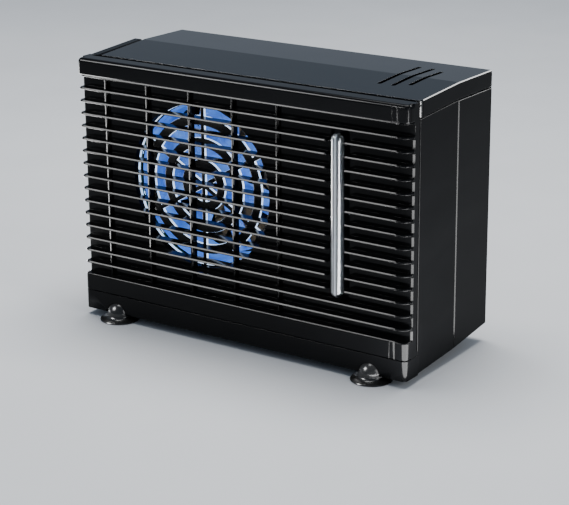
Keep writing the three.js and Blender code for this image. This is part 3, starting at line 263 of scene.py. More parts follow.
def lamp_material():
    n = Nodes("lamp_blue")
    glow = n.noise(260, 2)
    n.link(n.ramp(glow, (0.45, 0.68, 1.0, 1), (0.75, 0.88, 1.0, 1)), "Base Color")
    n.link(n.ramp(glow, (0.20, 0.45, 1.0, 1), (0.55, 0.75, 1.0, 1)), "Emission Color")
    n.link(n.spread(glow, 0.25, 0.45), "Roughness")
    n.set(Emission_Strength=9.0)
    n.bump((glow, 0.03 * MM, 0.3))
    return n.material


def pad_material():
    """Kraft cellulose, damp and blotchy."""
    n = Nodes("cellulose")
    n.link(n.ramp(n.noise(70, 6, 0.65), (0.17, 0.12, 0.06, 1), (0.42, 0.33, 0.20, 1)), "Base Color")
    n.link(n.spread(n.noise(300, 5), 0.75, 0.95), "Roughness")
    n.bump((n.noise(900, 4), 0.12 * MM, 0.6), (n.noise(160, 3), 0.2 * MM, 0.3))
    return n.material


def board_material():
    n = Nodes("solder_mask")
    weave = n.noise(500, 2, 0.5, (1, 1, 0.25))
    n.link(n.ramp(weave, (0.005, 0.06, 0.025, 1), (0.02, 0.16, 0.07, 1), 0.45, 0.55), "Base Color")
    n.link(n.spread(n.noise(300, 3), 0.25, 0.45), "Roughness")
    n.bump((n.noise(600, 2), 0.03 * MM, 0.4))
    return n.material


def insulation(name, color):
    n = Nodes(name)
    dark = tuple(c * 0.6 for c in color[:3]) + (1,)
    n.link(n.ramp(n.noise(200, 3), dark, color), "Base Color")
    n.link(n.spread(n.noise(400, 3), 0.3, 0.5), "Roughness")
    n.bump((n.noise(1500, 2), 0.02 * MM, 0.4))
    return n.material


def floor_material():
    n = Nodes("pale_floor")
    n.link(n.ramp(n.noise(3, 4), (0.72, 0.73, 0.74, 1), (0.78, 0.79, 0.80, 1)), "Base Color")
    n.link(n.spread(n.noise(20, 3), 0.6, 0.75), "Roughness")
    n.bump((n.noise(200, 3), 0.1 * MM, 0.1))
    return n.material


BLACK_GLOSS = moulded_plastic("black_gloss", 0.0018, 0.13, 0.003, specular=0.08, edge=0.2)
# a darker copy of black_gloss with less shine, for the flat sides: painted shade
BLACK_SIDE_PAINTED_SHADE = moulded_plastic("black_side_painted_shade", 0.0012, 0.16, 0.003, specular=0.03, edge=0.2)
BLACK_LID = moulded_plastic("black_lid", 0.0024, 0.12, 0.003, specular=0.5, edge=0.2)
BLACK_SATIN = moulded_plastic("black_satin", 0.0045, 0.26, 0.010, specular=0.2)
RUBBER = rubber_material()
STEEL = metal("steel", (0.56, 0.57, 0.59, 1), 0.28)
BRONZE = metal("bronze", (0.52, 0.36, 0.20, 1), 0.4)
FERRITE = moulded_plastic("ferrite", 0.05, 0.55, 0.05, tint=0.0)
ACRYLIC = clear_acrylic()
FROSTED = frosted_plastic()
BLUE_PAINTED_GLOW = blue_plastic_painted_glow()
LAMP = lamp_material()
# the duct's bore and the guard's ring walls: painted glow standing in for the lamps' light
DUCT_WALL_PAINTED_GLOW = painted_glow_plastic("duct_wall_painted_glow", (0.03, 0.12, 0.55, 1), (0.12, 0.34, 0.92, 1), 0.75, 45)
RING_EDGE_PAINTED_GLOW = painted_glow_plastic("ring_edge_painted_glow", (0.45, 0.68, 1.0, 1), (0.85, 0.94, 1.0, 1), 1.5, 90)
CELLULOSE = pad_material()
BOARD = board_material()
RED_WIRE = insulation("red_insulation", (0.55, 0.02, 0.02, 1))
BLACK_WIRE = insulation("black_insulation", (0.02, 0.02, 0.022, 1))

FINISH_OF_SLOT = {
    "black_gloss": BLACK_GLOSS,
    "black_satin": BLACK_SATIN,
    "clear_tube": ACRYLIC,
    "black_rubber": RUBBER,
    "steel": STEEL,
    "blue_plastic": BLUE_PAINTED_GLOW,
    "magnet": FERRITE,
    "bronze": BRONZE,
    "lamp_board": LAMP,
    "tank_plastic": FROSTED,
    "pad_fibre": CELLULOSE,
    "green_board": BOARD,
    "red_insulation": RED_WIRE,
}

SLOT_OF_NODE = {part["node"]: part["material_slot"] for part in frame["record"]["subparts"]}


def finish_cad_nodes():
    """Every CAD node gets the material of its slot; the ones replaced below are hidden anyway."""
    for name, slot in SLOT_OF_NODE.items():
        obj = bpy.data.objects[name]
        for entry in obj.material_slots:
            entry.material = FINISH_OF_SLOT[slot]
        if not obj.material_slots:
            obj.data.materials.append(FINISH_OF_SLOT[slot])


finish_cad_nodes()

# ---------------------------------------------------------------- shapes, in millimetres
# Shapes are drawn in the case's own millimetres: y = 0 is the front of the fins and z = 0 the floor.

FRONT_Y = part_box("front_grille")[0].y
TO_FRAME = Matrix.Translation((0, FRONT_Y, 0)) @ Matrix.Diagonal((MM, MM, MM, 1))


def in_mm(point):
    """A frame point in the case's millimetres."""
    return Vector((point.x / MM, (point.y - FRONT_Y) / MM, point.z / MM))


def box_mm(node):
    low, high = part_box(node)
    return in_mm(low), in_mm(high)


def rounded(corners, radius, steps=3):
    """A 2-D outline whose corners are arcs; radius is one number, or one for each corner."""
    outline = []
    for i, corner in enumerate(corners):
        here, before, after = Vector(corner), Vector(corners[i - 1]), Vector(corners[(i + 1) % len(corners)])
        r = radius[i] if isinstance(radius, (list, tuple)) else radius
        if r == 0:
            outline.append(here)
            continue
        back, ahead = (before - here).normalized(), (after - here).normalized()
        half = back.angle(ahead) / 2
        centre = here + (back + ahead).normalized() * (r / math.sin(half))
        start = here + back * (r / math.tan(half)) - centre
        end = here + ahead * (r / math.tan(half)) - centre
        first = math.atan2(start.y, start.x)
        sweep = (math.atan2(end.y, end.x) - first + math.pi) % (2 * math.pi) - math.pi
        for k in range(steps + 1):
            angle = first + sweep * k / steps
            outline.append(centre + Vector((math.cos(angle), math.sin(angle))) * r)
    return outline


def loft(bm, rings, wrap=False, index=0):
    """Quads between closed rings of points; the two ends are capped unless the rings wrap round."""
    loops = [[bm.verts.new(point) for point in ring] for ring in rings]
    count = len(loops[0])
    for low, high in zip(loops, loops[1:] + (loops[:1] if wrap else [])):
        for i in range(count):
            j = (i + 1) % count
            bm.faces.new((low[i], low[j], high[j], high[i])).material_index = index
    if not wrap:
        bm.faces.new(loops[0][::-1]).material_index = index
        bm.faces.new(loops[-1]).material_index = index


def along(axis, a, b, c):
    """The point whose coordinate along the axis is a; b and c are the other two in x, y, z order."""
    return {"x": Vector((a, b, c)), "y": Vector((b, a, c)), "z": Vector((b, c, a))}[axis]


def prism(bm, outline, axis, start, end, index=0):
    """An outline carried along an axis."""
    loft(bm, [[along(axis, a, p[0], p[1]) for p in outline] for a in (start, end)], index=index)


def round_axis(axis, centre, radius, a, angle):
    """The point at a radius and an angle round an axis, a along it."""
    return along(axis, a, centre[0] + radius * math.cos(angle), centre[1] + radius * math.sin(angle))


def turned(bm, profile, axis, centre, segments=48, index=0):
    """A solid of revolution; profile is (radius, coordinate along the axis) from end to end."""
    angles = [2 * math.pi * k / segments for k in range(segments)]
    rings = [[round_axis(axis, centre, radius, a, angle) for angle in angles] for radius, a in profile]
    loft(bm, rings, index=index)


def hoop(bm, profile, axis, centre, segments=96, index=0):
    """A ring; profile is a closed outline of (radius, coordinate along the axis)."""
    angles = [2 * math.pi * k / segments for k in range(segments)]
    rings = [[round_axis(axis, centre, radius, a, angle) for radius, a in profile] for angle in angles]
    loft(bm, rings, wrap=True, index=index)


def brick(bm, low, high, edge=0.3, steps=2, index=0):
    """A block with rounded upright edges and bevelled ends."""
    (x0, y0, z0), (x1, y1, z1) = low, high

    def corners(inset):
        outline = [(x0 + inset, y0 + inset), (x1 - inset, y0 + inset),
                   (x1 - inset, y1 - inset), (x0 + inset, y1 - inset)]
        return rounded(outline, max(edge - inset, 0.02), steps)

    levels = [(edge, z0), (edge * 0.3, z0 + edge * 0.3), (0, z0 + edge),
              (0, z1 - edge), (edge * 0.3, z1 - edge * 0.3), (edge, z1)]
    loft(bm, [[Vector((p.x, p.y, z)) for p in corners(inset)] for inset, z in levels], index=index)


def spin(bm, verts, axis, centre, angle):
    """Turn some vertices about an axis through a point of the other two coordinates."""
    pivot = along(axis, 0, *centre)
    turn = Matrix.Translation(pivot) @ Matrix.Rotation(angle, 4, axis.upper()) @ Matrix.Translation(-pivot)
    bmesh.ops.transform(bm, matrix=turn, verts=verts)


# ---------------------------------------------------------------- solids, joined and cut

WELD = 1e-6              # metres


def hidden(bm):
    """A mesh in the frame as an object outside the scene, ready to be joined or cut."""
    mesh = bpy.data.meshes.new("solid")
    bm.to_mesh(mesh)
    bm.free()
    return bpy.data.objects.new("solid", mesh)


def solid(bm):
    """The same, for a drawing still in millimetres."""
    bmesh.ops.recalc_face_normals(bm, faces=bm.faces)
    bmesh.ops.transform(bm, matrix=TO_FRAME, verts=bm.verts)
    return hidden(bm)


def drawn(draw, *details):
    """A solid from one of the drawing functions above."""
    bm = bmesh.new()
    draw(bm, *details)
    return solid(bm)


def welded(node):
    """A CAD node's triangles, with the corners that they share merged."""
    bm = bmesh.new()
    bm.from_mesh(bpy.data.objects[node].data)
    bmesh.ops.remove_doubles(bm, verts=bm.verts, dist=WELD)
    return bm


def dissolve(bm, degrees):
    """Merge neighbouring faces that lie in one plane."""
    bmesh.ops.dissolve_limit(bm, angle_limit=math.radians(degrees), verts=bm.verts, edges=bm.edges)


def combined(base, tools, operation="UNION"):
    """One closed mesh from several solids, as a bmesh in the frame."""
    group = bpy.data.collections.new("tools")
    for tool in tools:
        group.objects.link(tool)
    bpy.context.collection.objects.link(base)
    cutter = base.modifiers.new("combine", "BOOLEAN")
    cutter.operation = operation
    cutter.solver = "MANIFOLD"
    cutter.operand_type = "COLLECTION"
    cutter.collection = group
    depsgraph = bpy.context.evaluated_depsgraph_get()
    result = bmesh.new()
    result.from_mesh(base.evaluated_get(depsgraph).to_mesh())
    for obj in [base, *tools]:
        bpy.data.objects.remove(obj)
    bpy.data.collections.remove(group)
    dissolve(result, 0.3)
    return result


# ---------------------------------------------------------------- piece helpers


def add_piece(name, bm, materials, body, nodes=(), slot=None, smooth_angle=38):
    """A new object that rides on a body, standing for the CAD nodes that it replaces."""
    bmesh.ops.recalc_face_normals(bm, faces=bm.faces)
    mesh = bpy.data.meshes.new(name)
    bm.to_mesh(mesh)
    bm.free()
    mesh.polygons.foreach_set("use_smooth", [True] * len(mesh.polygons))
    mesh.set_sharp_from_angle(angle=math.radians(smooth_angle))
    for material in materials:
        mesh.materials.append(material)
    obj = bpy.data.objects.new(name, mesh)
    bpy.context.collection.objects.link(obj)
    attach(obj, body)
    if nodes:
        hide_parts(*nodes)
        slot = slot or SLOT_OF_NODE[nodes[0]]
    normals = obj.modifiers.new("normals", "WEIGHTED_NORMAL")
    normals.keep_sharp = True
    normals.weight = 60


def add_drawn(name, bm, materials, body, nodes=(), slot=None, smooth_angle=38):
    """The same, for a drawing still in millimetres."""
    bmesh.ops.transform(bm, matrix=TO_FRAME, verts=bm.verts)
    add_piece(name, bm, materials, body, nodes, slot, smooth_angle)


def clean_copy(node):
    """A CAD node's solid with its triangles merged back into whole faces."""
    bm = welded(node)
    dissolve(bm, 0.6)
    return bm


CREASE_LENGTH = 60 * MM   # a long shallow crease is rounded too
CREASE_ANGLE = 2.0


def round_edges(bm, width, shortest, segments=2, sharp=38, skipped=None):
    """Bevel the long outer edges, except the skipped ones."""
    edges = [
        e for e in bm.edges
        if e.is_manifold and e.is_convex and not (skipped and skipped(e)) and (
            (e.calc_length() > shortest * MM and e.calc_face_angle() > math.radians(sharp))
            or (e.calc_length() > CREASE_LENGTH and e.calc_face_angle() > math.radians(CREASE_ANGLE)))
    ]
    bmesh.ops.bevel(bm, geom=edges, offset=width * MM, offset_type="OFFSET", segments=segments,
                    profile=0.5, affect="EDGES", clamp_overlap=False)


def refined(node, name, material, body, width=0.0, shortest=4.0, segments=2):
    """A CAD node remade with whole faces, rounded long edges and smooth round stretches."""
    bm = clean_copy(node)
    if width:
        round_edges(bm, width, shortest, segments)
    add_piece(name, bm, [material], body, [node])


# ---------------------------------------------------------------- louvred cover

COVER_LOW, COVER_HIGH = box_mm("front_grille")
TUBE_LOW_MM, TUBE_HIGH_MM = box_mm("sight_tube")

HALF_WIDTH = COVER_HIGH.x
CORNER = 2.8
TOP_BAND_HEIGHT = 9.76
TOP_ROUND = 2.4
BAND_ROUND = 0.7

FIN_COUNT = 15
FIN_PITCH = 7.6
FIN_DEPTH = 6.0
FIN_ROOT = 2.1
FIN_TIP = 1.1
FACET_DEPTH = 0.46
FACET_HEIGHT = 0.71
LEFT_CORNER = 3.4        # of the fins, in plan
RIGHT_CORNER = 6.0
CHANNEL_CORNER = 0.9     # of the fins that stop beside the tube
LIP_CORNER = 5.8
LIP_RISE = 0.15

RIB_COUNT = 5
FIRST_RIB_X = -94.7
RIB_SPACING = 30.2
RIB_PLAN = [(-0.8, 8.2), (-0.8, 4.3), (-0.65, 4.05), (0.15, 3.75), (0.5, 3.85), (0.8, 4.2), (0.8, 8.2)]

CHANNEL_MARGIN = 1.6     # beside the tube
GROOVES = [(101.9, 0.35), (105.2, 0.55)]   # upright grooves near the right end: place and depth
GROOVE_TOP_MARGIN = 1.2
WALL_CHAMFER = 1.0
CHAMFER_MARGIN = 0.1     # above and below each fin

SEAM_LEFT = -108.5       # the open seam in front of the lid
LID_SEAM_FRONT = 9.6
LID_SEAM_DEPTH = 1.9
SIDE_SEAM_FRONT = 10.9   # the open seam between the cover and the case at the right
SIDE_SEAM_WIDTH = 3.0
SIDE_SEAM_DEPTH = 1.6
SIDE_SEAM_MARGIN = 2.6

BURIED = 0.4             # how far a joined shape reaches into its neighbour
PAST = 2                 # how far a cutting shape reaches past the surface it cuts
SKIM = 0.01              # the same, for a cut that starts at a front face

TOP_BAND_LOW = COVER_HIGH.z - TOP_BAND_HEIGHT
BOTTOM_BAND_TOP = TOP_BAND_LOW - (FIN_COUNT + 1) * FIN_PITCH
CHANNEL = (TUBE_LOW_MM.x - CHANNEL_MARGIN, TUBE_HIGH_MM.x + CHANNEL_MARGIN)


def front_outline(x0, x1, r0, r1, back, inset, end_insets):
    """Plan of a strip along the front: its two front corners are round, its back is straight."""
    left, right = x0 + end_insets[0], x1 - end_insets[1]
    corners = [(left, inset), (right, inset), (right, back), (left, back)]
    return rounded(corners, [max(r0 - inset, 0.05), max(r1 - inset, 0.05), 0, 0], 5)


def strip(bm, x0, x1, r0, r1, back, levels, ends=(True, True)):
    """A strip drawn level by level; each level is (inset, height)."""
    rings = []
    for inset, z in levels:
        insets = [inset if outer else min(inset, 0.5) for outer in ends]
        rings.append([
            Vector((p.x, p.y, z)) for p in front_outline(x0, x1, r0, r1, back, inset, insets)
        ])
    loft(bm, rings)


def arc_levels(edge, z, radius, up, steps=4):
    """Levels round an edge from the front face to the flat of a band's top or underside."""
    return [
        (edge + radius * (1 - math.cos(a)), z + up * radius * math.sin(a))
        for a in (math.pi / 2 * k / steps for k in range(steps + 1))
    ]


def fin_levels(top):
    """A leaning facet along the top front edge, a small round under it and the sloping underside."""
    return [
        (FACET_DEPTH + 0.25, top), (FACET_DEPTH, top - 0.05),
        (0.03, top - FACET_HEIGHT), (0, top - FACET_HEIGHT - 0.06),
        (0, top - FIN_TIP + 0.12), (0.1, top - FIN_TIP), (FIN_DEPTH, top - FIN_ROOT),
    ]


def paint_shade_on_sides(bm):
    """The flat sides take the second material, a darker copy that shines less: painted shade."""
    bm.normal_update()
    for face in bm.faces:
        if abs(face.normal.x) > 0.95:
            face.material_index = 1


def cover_bands():
    """The plain bands above and below the fins."""
    top = arc_levels(0, TOP_BAND_LOW + BAND_ROUND, BAND_ROUND, -1)[::-1]
    top += arc_levels(0, COVER_HIGH.z - TOP_ROUND, TOP_ROUND, 1, 6)
    bottom = arc_levels(0, COVER_LOW.z + BAND_ROUND, BAND_ROUND, -1)[::-1]
    bottom += arc_levels(0, BOTTOM_BAND_TOP - BAND_ROUND, BAND_ROUND, 1)
    return [
        drawn(strip, -HALF_WIDTH, HALF_WIDTH, CORNER, CORNER, FIN_DEPTH + BURIED, levels)
        for levels in (top, bottom)
    ]


def cover_fins():
    """The lips under both bands, then the fins; the tube's channel interrupts most of the fins."""
    back = FIN_DEPTH + BURIED
    fins = [
        drawn(strip, -HALF_WIDTH, HALF_WIDTH, LIP_CORNER, RIGHT_CORNER, back, fin_levels(top + LIP_RISE))
        for top in (TOP_BAND_LOW, BOTTOM_BAND_TOP)
    ]
    for i in range(FIN_COUNT):
        top = TOP_BAND_LOW - (i + 1) * FIN_PITCH
        levels = fin_levels(top)
        if TUBE_LOW_MM.z < top < TUBE_HIGH_MM.z + 1:
            left = (-HALF_WIDTH, CHANNEL[0], LEFT_CORNER, CHANNEL_CORNER)
            right = (CHANNEL[1], HALF_WIDTH, CHANNEL_CORNER, RIGHT_CORNER)
            fins.append(drawn(strip, *left, back, levels, (True, False)))
            fins.append(drawn(strip, *right, back, levels, (False, True)))
        else:
            fins.append(drawn(strip, -HALF_WIDTH, HALF_WIDTH, LEFT_CORNER, RIGHT_CORNER, back, levels))
    return fins


def cover_ribs():
    """Upright ribs behind the fins, each with a facet that leans to the left."""
    ribs = []
    for i in range(RIB_COUNT):
        x = FIRST_RIB_X + i * RIB_SPACING
        plan = [(x + across, y) for across, y in RIB_PLAN]
        ribs.append(drawn(prism, plan, "z", BOTTOM_BAND_TOP - 1, TOP_BAND_LOW + 1))
    return ribs


def cover_cuts():
    """The side seam, the upright grooves, the chamfered corner of the right wall and the lid's seam."""
    right = HALF_WIDTH + PAST
    cuts = [drawn(
        brick, (HALF_WIDTH - SIDE_SEAM_DEPTH, SIDE_SEAM_FRONT, COVER_LOW.z + SIDE_SEAM_MARGIN),
        (right, SIDE_SEAM_FRONT + SIDE_SEAM_WIDTH, COVER_HIGH.z - SIDE_SEAM_MARGIN), 0.1,
    )]
    for x, depth in GROOVES:
        notch = [(x - depth, -SKIM), (x, depth), (x + depth, -SKIM)]
        cuts.append(drawn(prism, notch, "z", COVER_LOW.z - 1, COVER_HIGH.z - GROOVE_TOP_MARGIN))
    chamfers = bmesh.new()
    outside = HALF_WIDTH + 0.1
    corner = [(HALF_WIDTH - WALL_CHAMFER, FIN_DEPTH - SKIM), (outside, FIN_DEPTH + WALL_CHAMFER + 0.1),
              (outside, FIN_DEPTH - SKIM)]
    for i in range(FIN_COUNT + 1):
        top = TOP_BAND_LOW - i * FIN_PITCH
        prism(chamfers, corner, "z", top - FIN_PITCH + CHAMFER_MARGIN, top - FIN_ROOT - CHAMFER_MARGIN)
    cuts.append(solid(chamfers))
    cuts.append(drawn(
        brick, (SEAM_LEFT, LID_SEAM_FRONT, COVER_HIGH.z - LID_SEAM_DEPTH),
        (right, COVER_HIGH.y + PAST, COVER_HIGH.z + PAST), 0.2,
    ))
    return cuts


def louvre_cover():
    """The bands, fins and ribs are drawn anew; the walls behind them are the CAD ones."""
    around = [(-200, -50), (200, -50), (200, 250), (-200, 250)]
    front = drawn(prism, around, "y", 0, FIN_DEPTH)
    walls = combined(hidden(welded("front_grille")), [front], "DIFFERENCE")
    whole = combined(hidden(walls), cover_bands() + cover_fins() + cover_ribs())
    cover = combined(hidden(whole), cover_cuts(), "DIFFERENCE")
    paint_shade_on_sides(cover)
    add_piece("louvre_cover", cover, [BLACK_GLOSS, BLACK_SIDE_PAINTED_SHADE], "case", ["front_grille"], smooth_angle=24)


louvre_cover()

# ---------------------------------------------------------------- case and lid

SHELL_BEVEL = 0.55
LID_BEVEL = 0.5
LID_INSET = 1.0          # widens the seam at the lid's left edge
LID_MARGIN = 3           # what is nearer to the lid's outside than this is bevelled
REAR_SEAM_Y = box_mm("rear_shell")[0].y


def shell(node, name):
    """Half of the case, with flat bevels that catch the light."""
    bm = clean_copy(node)
    round_edges(bm, SHELL_BEVEL, 20.0, 1)
    paint_shade_on_sides(bm)
    add_piece(name, bm, [BLACK_GLOSS, BLACK_SIDE_PAINTED_SHADE], "case", [node], smooth_angle=30)


def slotted_lid():
    """The lid with its left edge set back; its front edge and its slots stay sharp."""
    low, high = box_mm("lid")
    left_edge = drawn(
        brick, (low.x - 3, low.y - 3, low.z - 3), (low.x + LID_INSET, REAR_SEAM_Y, high.z + 3), 0.2)
    lid = combined(hidden(welded("lid")), [left_edge], "DIFFERENCE")
    front, back = FRONT_Y + (low.y + 0.3) * MM, FRONT_Y + (high.y - LID_MARGIN) * MM
    left, right = (low.x + LID_INSET + LID_MARGIN) * MM, (high.x - LID_MARGIN) * MM

    def kept_sharp(edge):
        inside = all(left < v.co.x < right and v.co.y < back for v in edge.verts)
        return inside or all(v.co.y < front for v in edge.verts)

    round_edges(lid, LID_BEVEL, 0.5, 1, skipped=kept_sharp)
    paint_shade_on_sides(lid)
    add_piece("slotted_lid", lid, [BLACK_LID, BLACK_SIDE_PAINTED_SHADE], "lid", ["lid"], smooth_angle=20)


shell("front_shell", "front_case")
shell("rear_shell", "rear_case")
slotted_lid()
refined("intake_grille", "intake_louvres", BLACK_SATIN, "case", 0.25, 3.0)

# ---------------------------------------------------------------- fan

CAN_LOW_MM, CAN_HIGH_MM = box_mm("motor_can")
GUARD_LOW_MM, GUARD_HIGH_MM = box_mm("fan_guard")
ROTOR_LOW_MM, ROTOR_HIGH_MM = box_mm("fan_rotor")
SHROUD_LOW_MM, SHROUD_HIGH_MM = box_mm("fan_shroud")
LAMP_LOW_MM, LAMP_HIGH_MM = box_mm("lamp_ring")

AXIS = ((CAN_LOW_MM.x + CAN_HIGH_MM.x) / 2, (CAN_LOW_MM.z + CAN_HIGH_MM.z) / 2)
GUARD_R = (GUARD_HIGH_MM.x - GUARD_LOW_MM.x) / 2
OPENING_R = 48.0
RING_PITCH = 12.8
RING_WIDTH = 5.5
RING_COUNT = 3
SPOKES = 6
SPOKE_WIDTH = 2.6
BLADE_COUNT = 7
HUB_R = 14.0
HUB_WALL = 1.8
LAMP_COUNT = 12
LAMP_R = 48.9


def slab(r0, r1, a0, a1, edge):
    """A ring's section with rounded edges, for hoop."""
    return rounded([(r0, a0), (r1, a0), (r1, a1), (r0, a1)], edge, 3)


def radial(face):
    """Distance of a face's middle from the fan's axis, in mm."""
    middle = in_mm(face.calc_center_median())
    return math.hypot(middle.x - AXIS[0], middle.z - AXIS[1])


def fan_guard():
    """Rings, a hub and spokes; the walls of the rings carry a painted blue glow that stands in for the lamps'
    light.
    """
    y0, y1 = GUARD_LOW_MM.y, GUARD_HIGH_MM.y
    base = drawn(hoop, slab(OPENING_R - 0.6, GUARD_R, y0, y1, 0.5), "y", AXIS)
    parts = []
    for i in range(1, RING_COUNT + 1):
        outer = OPENING_R - i * RING_PITCH + RING_WIDTH
        parts.append(drawn(hoop, slab(outer - RING_WIDTH, outer, y0, y1, 0.7), "y", AXIS))
    hub = OPENING_R - (RING_COUNT + 1) * RING_PITCH + RING_WIDTH
    parts.append(drawn(
        turned, [(hub - 0.8, y0), (hub - 0.2, y0 + 0.2), (hub, y0 + 0.8), (hub, y1)], "y", AXIS, 32))
    x, z = AXIS
    reach = OPENING_R + 0.3
    section = rounded([
        (y0 + 0.1, z - SPOKE_WIDTH / 2), (y1 - 0.1, z - SPOKE_WIDTH / 2),
        (y1 - 0.1, z + SPOKE_WIDTH / 2), (y0 + 0.1, z + SPOKE_WIDTH / 2),
    ], 0.6)
    for i in range(SPOKES // 2):
        bm = bmesh.new()
        prism(bm, section, "x", x - reach, x + reach)
        spin(bm, bm.verts, "y", AXIS, (i + 0.5) * 2 * math.pi / SPOKES)
        parts.append(solid(bm))
    guard = combined(base, parts)
    # the ring walls take the painted-glow material
    for face in guard.faces:
        if abs(face.normal.y) < 0.4 and 3 < radial(face) < OPENING_R + 0.5:
            face.material_index = 1
    add_piece("ring_guard", guard, [BLACK_SATIN, RING_EDGE_PAINTED_GLOW], "case", ["fan_guard"])


def fan_duct():
    """The shroud; its bore carries a painted blue glow that stands in for the lamps' light."""
    bm = clean_copy("fan_shroud")
    round_edges(bm, 0.3, 2.0)
    # the bore's inward faces take the painted-glow material
    for face in bm.faces:
        centre = face.calc_center_median()
        inward = face.normal.x * (AXIS[0] * MM - centre.x) + face.normal.z * (AXIS[1] * MM - centre.z) > 0
        if inward and abs(face.normal.y) < 0.5 and 40 < radial(face) < 48.5:
            face.material_index = 1
    add_piece("shroud_ring", bm, [BLACK_SATIN, DUCT_WALL_PAINTED_GLOW], "case", ["fan_shroud"])


def blade_section(r, hub_r, tip_r):
    """Points (across, depth) of a blade's section at one radius: cambered, round-edged and twisted."""
    t = (r - hub_r) / (tip_r - hub_r)
    chord = 20.5 + 3.0 * math.sin(math.pi * min(t, 1))
    pitch = 0.66 - 0.22 * t
    camber, thickness = 2.6, 1.5 - 0.5 * t
    upper, lower = [], []
    steps = 12
    for k in range(steps + 1):
        u = k / steps
        swell = thickness / 2 * math.sqrt(max(0.0, 1 - (2 * u - 1) ** 8)) + 0.02
        middle = camber * (1 - (2 * u - 1) ** 2) - camber / 2
        upper.append(((u - 0.5) * chord, middle + swell))
        lower.append(((u - 0.5) * chord, middle - swell))

    def turn(across, depth):
        return (across * math.cos(pitch) - depth * math.sin(pitch),
                across * math.sin(pitch) + depth * math.cos(pitch))

    return [turn(*point) for point in upper + lower[::-1]]


def blade(bm, middle, tip_r, rows=9):
    """One blade, standing above the axis; its sections are bent round the axis."""
    x, z = AXIS
    root_r = HUB_R - 1.2
    rings = []
    for k in range(rows + 1):
        r = root_r + (tip_r - 0.3 - root_r) * k / rows
        ring = []
        for across, depth in blade_section(r, HUB_R, tip_r):
            angle = across / max(r, 1)
            ring.append(Vector((x + r * math.sin(angle), middle + depth, z + r * math.cos(angle))))
        rings.append(ring)
    loft(bm, rings)


def fan_rotor():
    """A cupped hub and its blades."""
    tip_r = (ROTOR_HIGH_MM.z - ROTOR_LOW_MM.z) / 2
    y0, y1 = ROTOR_LOW_MM.y, ROTOR_HIGH_MM.y
    outside = [(0.4, y0 + 0.4), (7, y0 + 0.5), (11.5, y0 + 1.1), (13.2, y0 + 2.2),
               (HUB_R, y0 + 4.2), (HUB_R, y1)]
    inside = [(HUB_R - HUB_WALL, y1), (HUB_R - HUB_WALL, y0 + 5), (4, y0 + 4), (4, y1),
              (1.3, y1), (1.3, y0 + 3), (0.4, y0 + 3)]
    base = drawn(turned, outside + inside, "y", AXIS, 64)
    blades = []
    for i in range(BLADE_COUNT):
        bm = bmesh.new()
        blade(bm, (y0 + y1) / 2, tip_r)
        spin(bm, bm.verts, "y", AXIS, i * 2 * math.pi / BLADE_COUNT)
        blades.append(solid(bm))
    add_piece("fan_blades", combined(base, blades), [BLUE_PAINTED_GLOW], "rotor", ["fan_rotor"])


def lamp_ring():
    """A thin ring board with lamps spaced round it."""
    y0, y1 = LAMP_LOW_MM.y, LAMP_HIGH_MM.y
    outer = (LAMP_HIGH_MM.x - LAMP_LOW_MM.x) / 2
    x, z = AXIS[0] + LAMP_R, AXIS[1]
    bm = bmesh.new()
    hoop(bm, slab(47.7, outer, y0, y0 + 1.1, 0.15), "y", AXIS)
    for i in range(LAMP_COUNT):
        start = len(bm.verts)
        brick(bm, (x - 1.1, y0 + 0.9, z - 1.5), (x + 1.1, y1, z + 1.5), 0.2, index=1)
        bm.verts.ensure_lookup_table()
        spin(bm, bm.verts[start:], "y", AXIS, (i + 0.5) * 2 * math.pi / LAMP_COUNT)
    add_drawn("lamp_ring_board", bm, [BOARD, LAMP], "case", ["lamp_ring"])


fan_guard()
fan_duct()
fan_rotor()
lamp_ring()

# ---------------------------------------------------------------- sight tube and feet

TUBE_WALL = 0.9
COLUMN_GAP = 0.15        # round the water column
DOME_R = 7.4
FLANGE_STEP = 0.35       # from the flange's rim to its top


def capsule(radius, inset, low, high, steps=10):
    """Profile of an upright capsule between two heights."""
    angles = [math.pi / 2 * (k + 0.02) / steps for k in range(steps + 1)]
    half = [(radius * math.sin(a), radius * math.cos(a)) for a in angles]
    bottom = [(r, low.z + inset + radius - h) for r, h in half]
    top = [(r, high.z - inset - radius + h) for r, h in reversed(half)]
    return bottom + top


def sight_tube():
    """A clear tube with a column of water in its bore; the column carries painted reflection streaks."""
    low, high = TUBE_LOW_MM, TUBE_HIGH_MM
    radius = (high.x - low.x) / 2 - 0.35
    centre = ((low.x + high.x) / 2, (low.y + high.y) / 2)
    outside = drawn(turned, capsule(radius, 0, low, high), "z", centre, 48)
    bore = drawn(turned, capsule(radius - TUBE_WALL, TUBE_WALL, low, high), "z", centre, 48)
    add_piece("level_tube", combined(outside, [bore], "DIFFERENCE"), [ACRYLIC], "case", ["sight_tube"])

    column = bmesh.new()
    inset = TUBE_WALL + COLUMN_GAP
    turned(column, capsule(radius - inset, inset, low, high), "z", centre, 48)
    # the column's colour paints reflections as stripes across it
    add_drawn("tube_column", column, [painted_reflection_column(centre[0] * MM, radius * MM)], "case", slot="clear_tube")


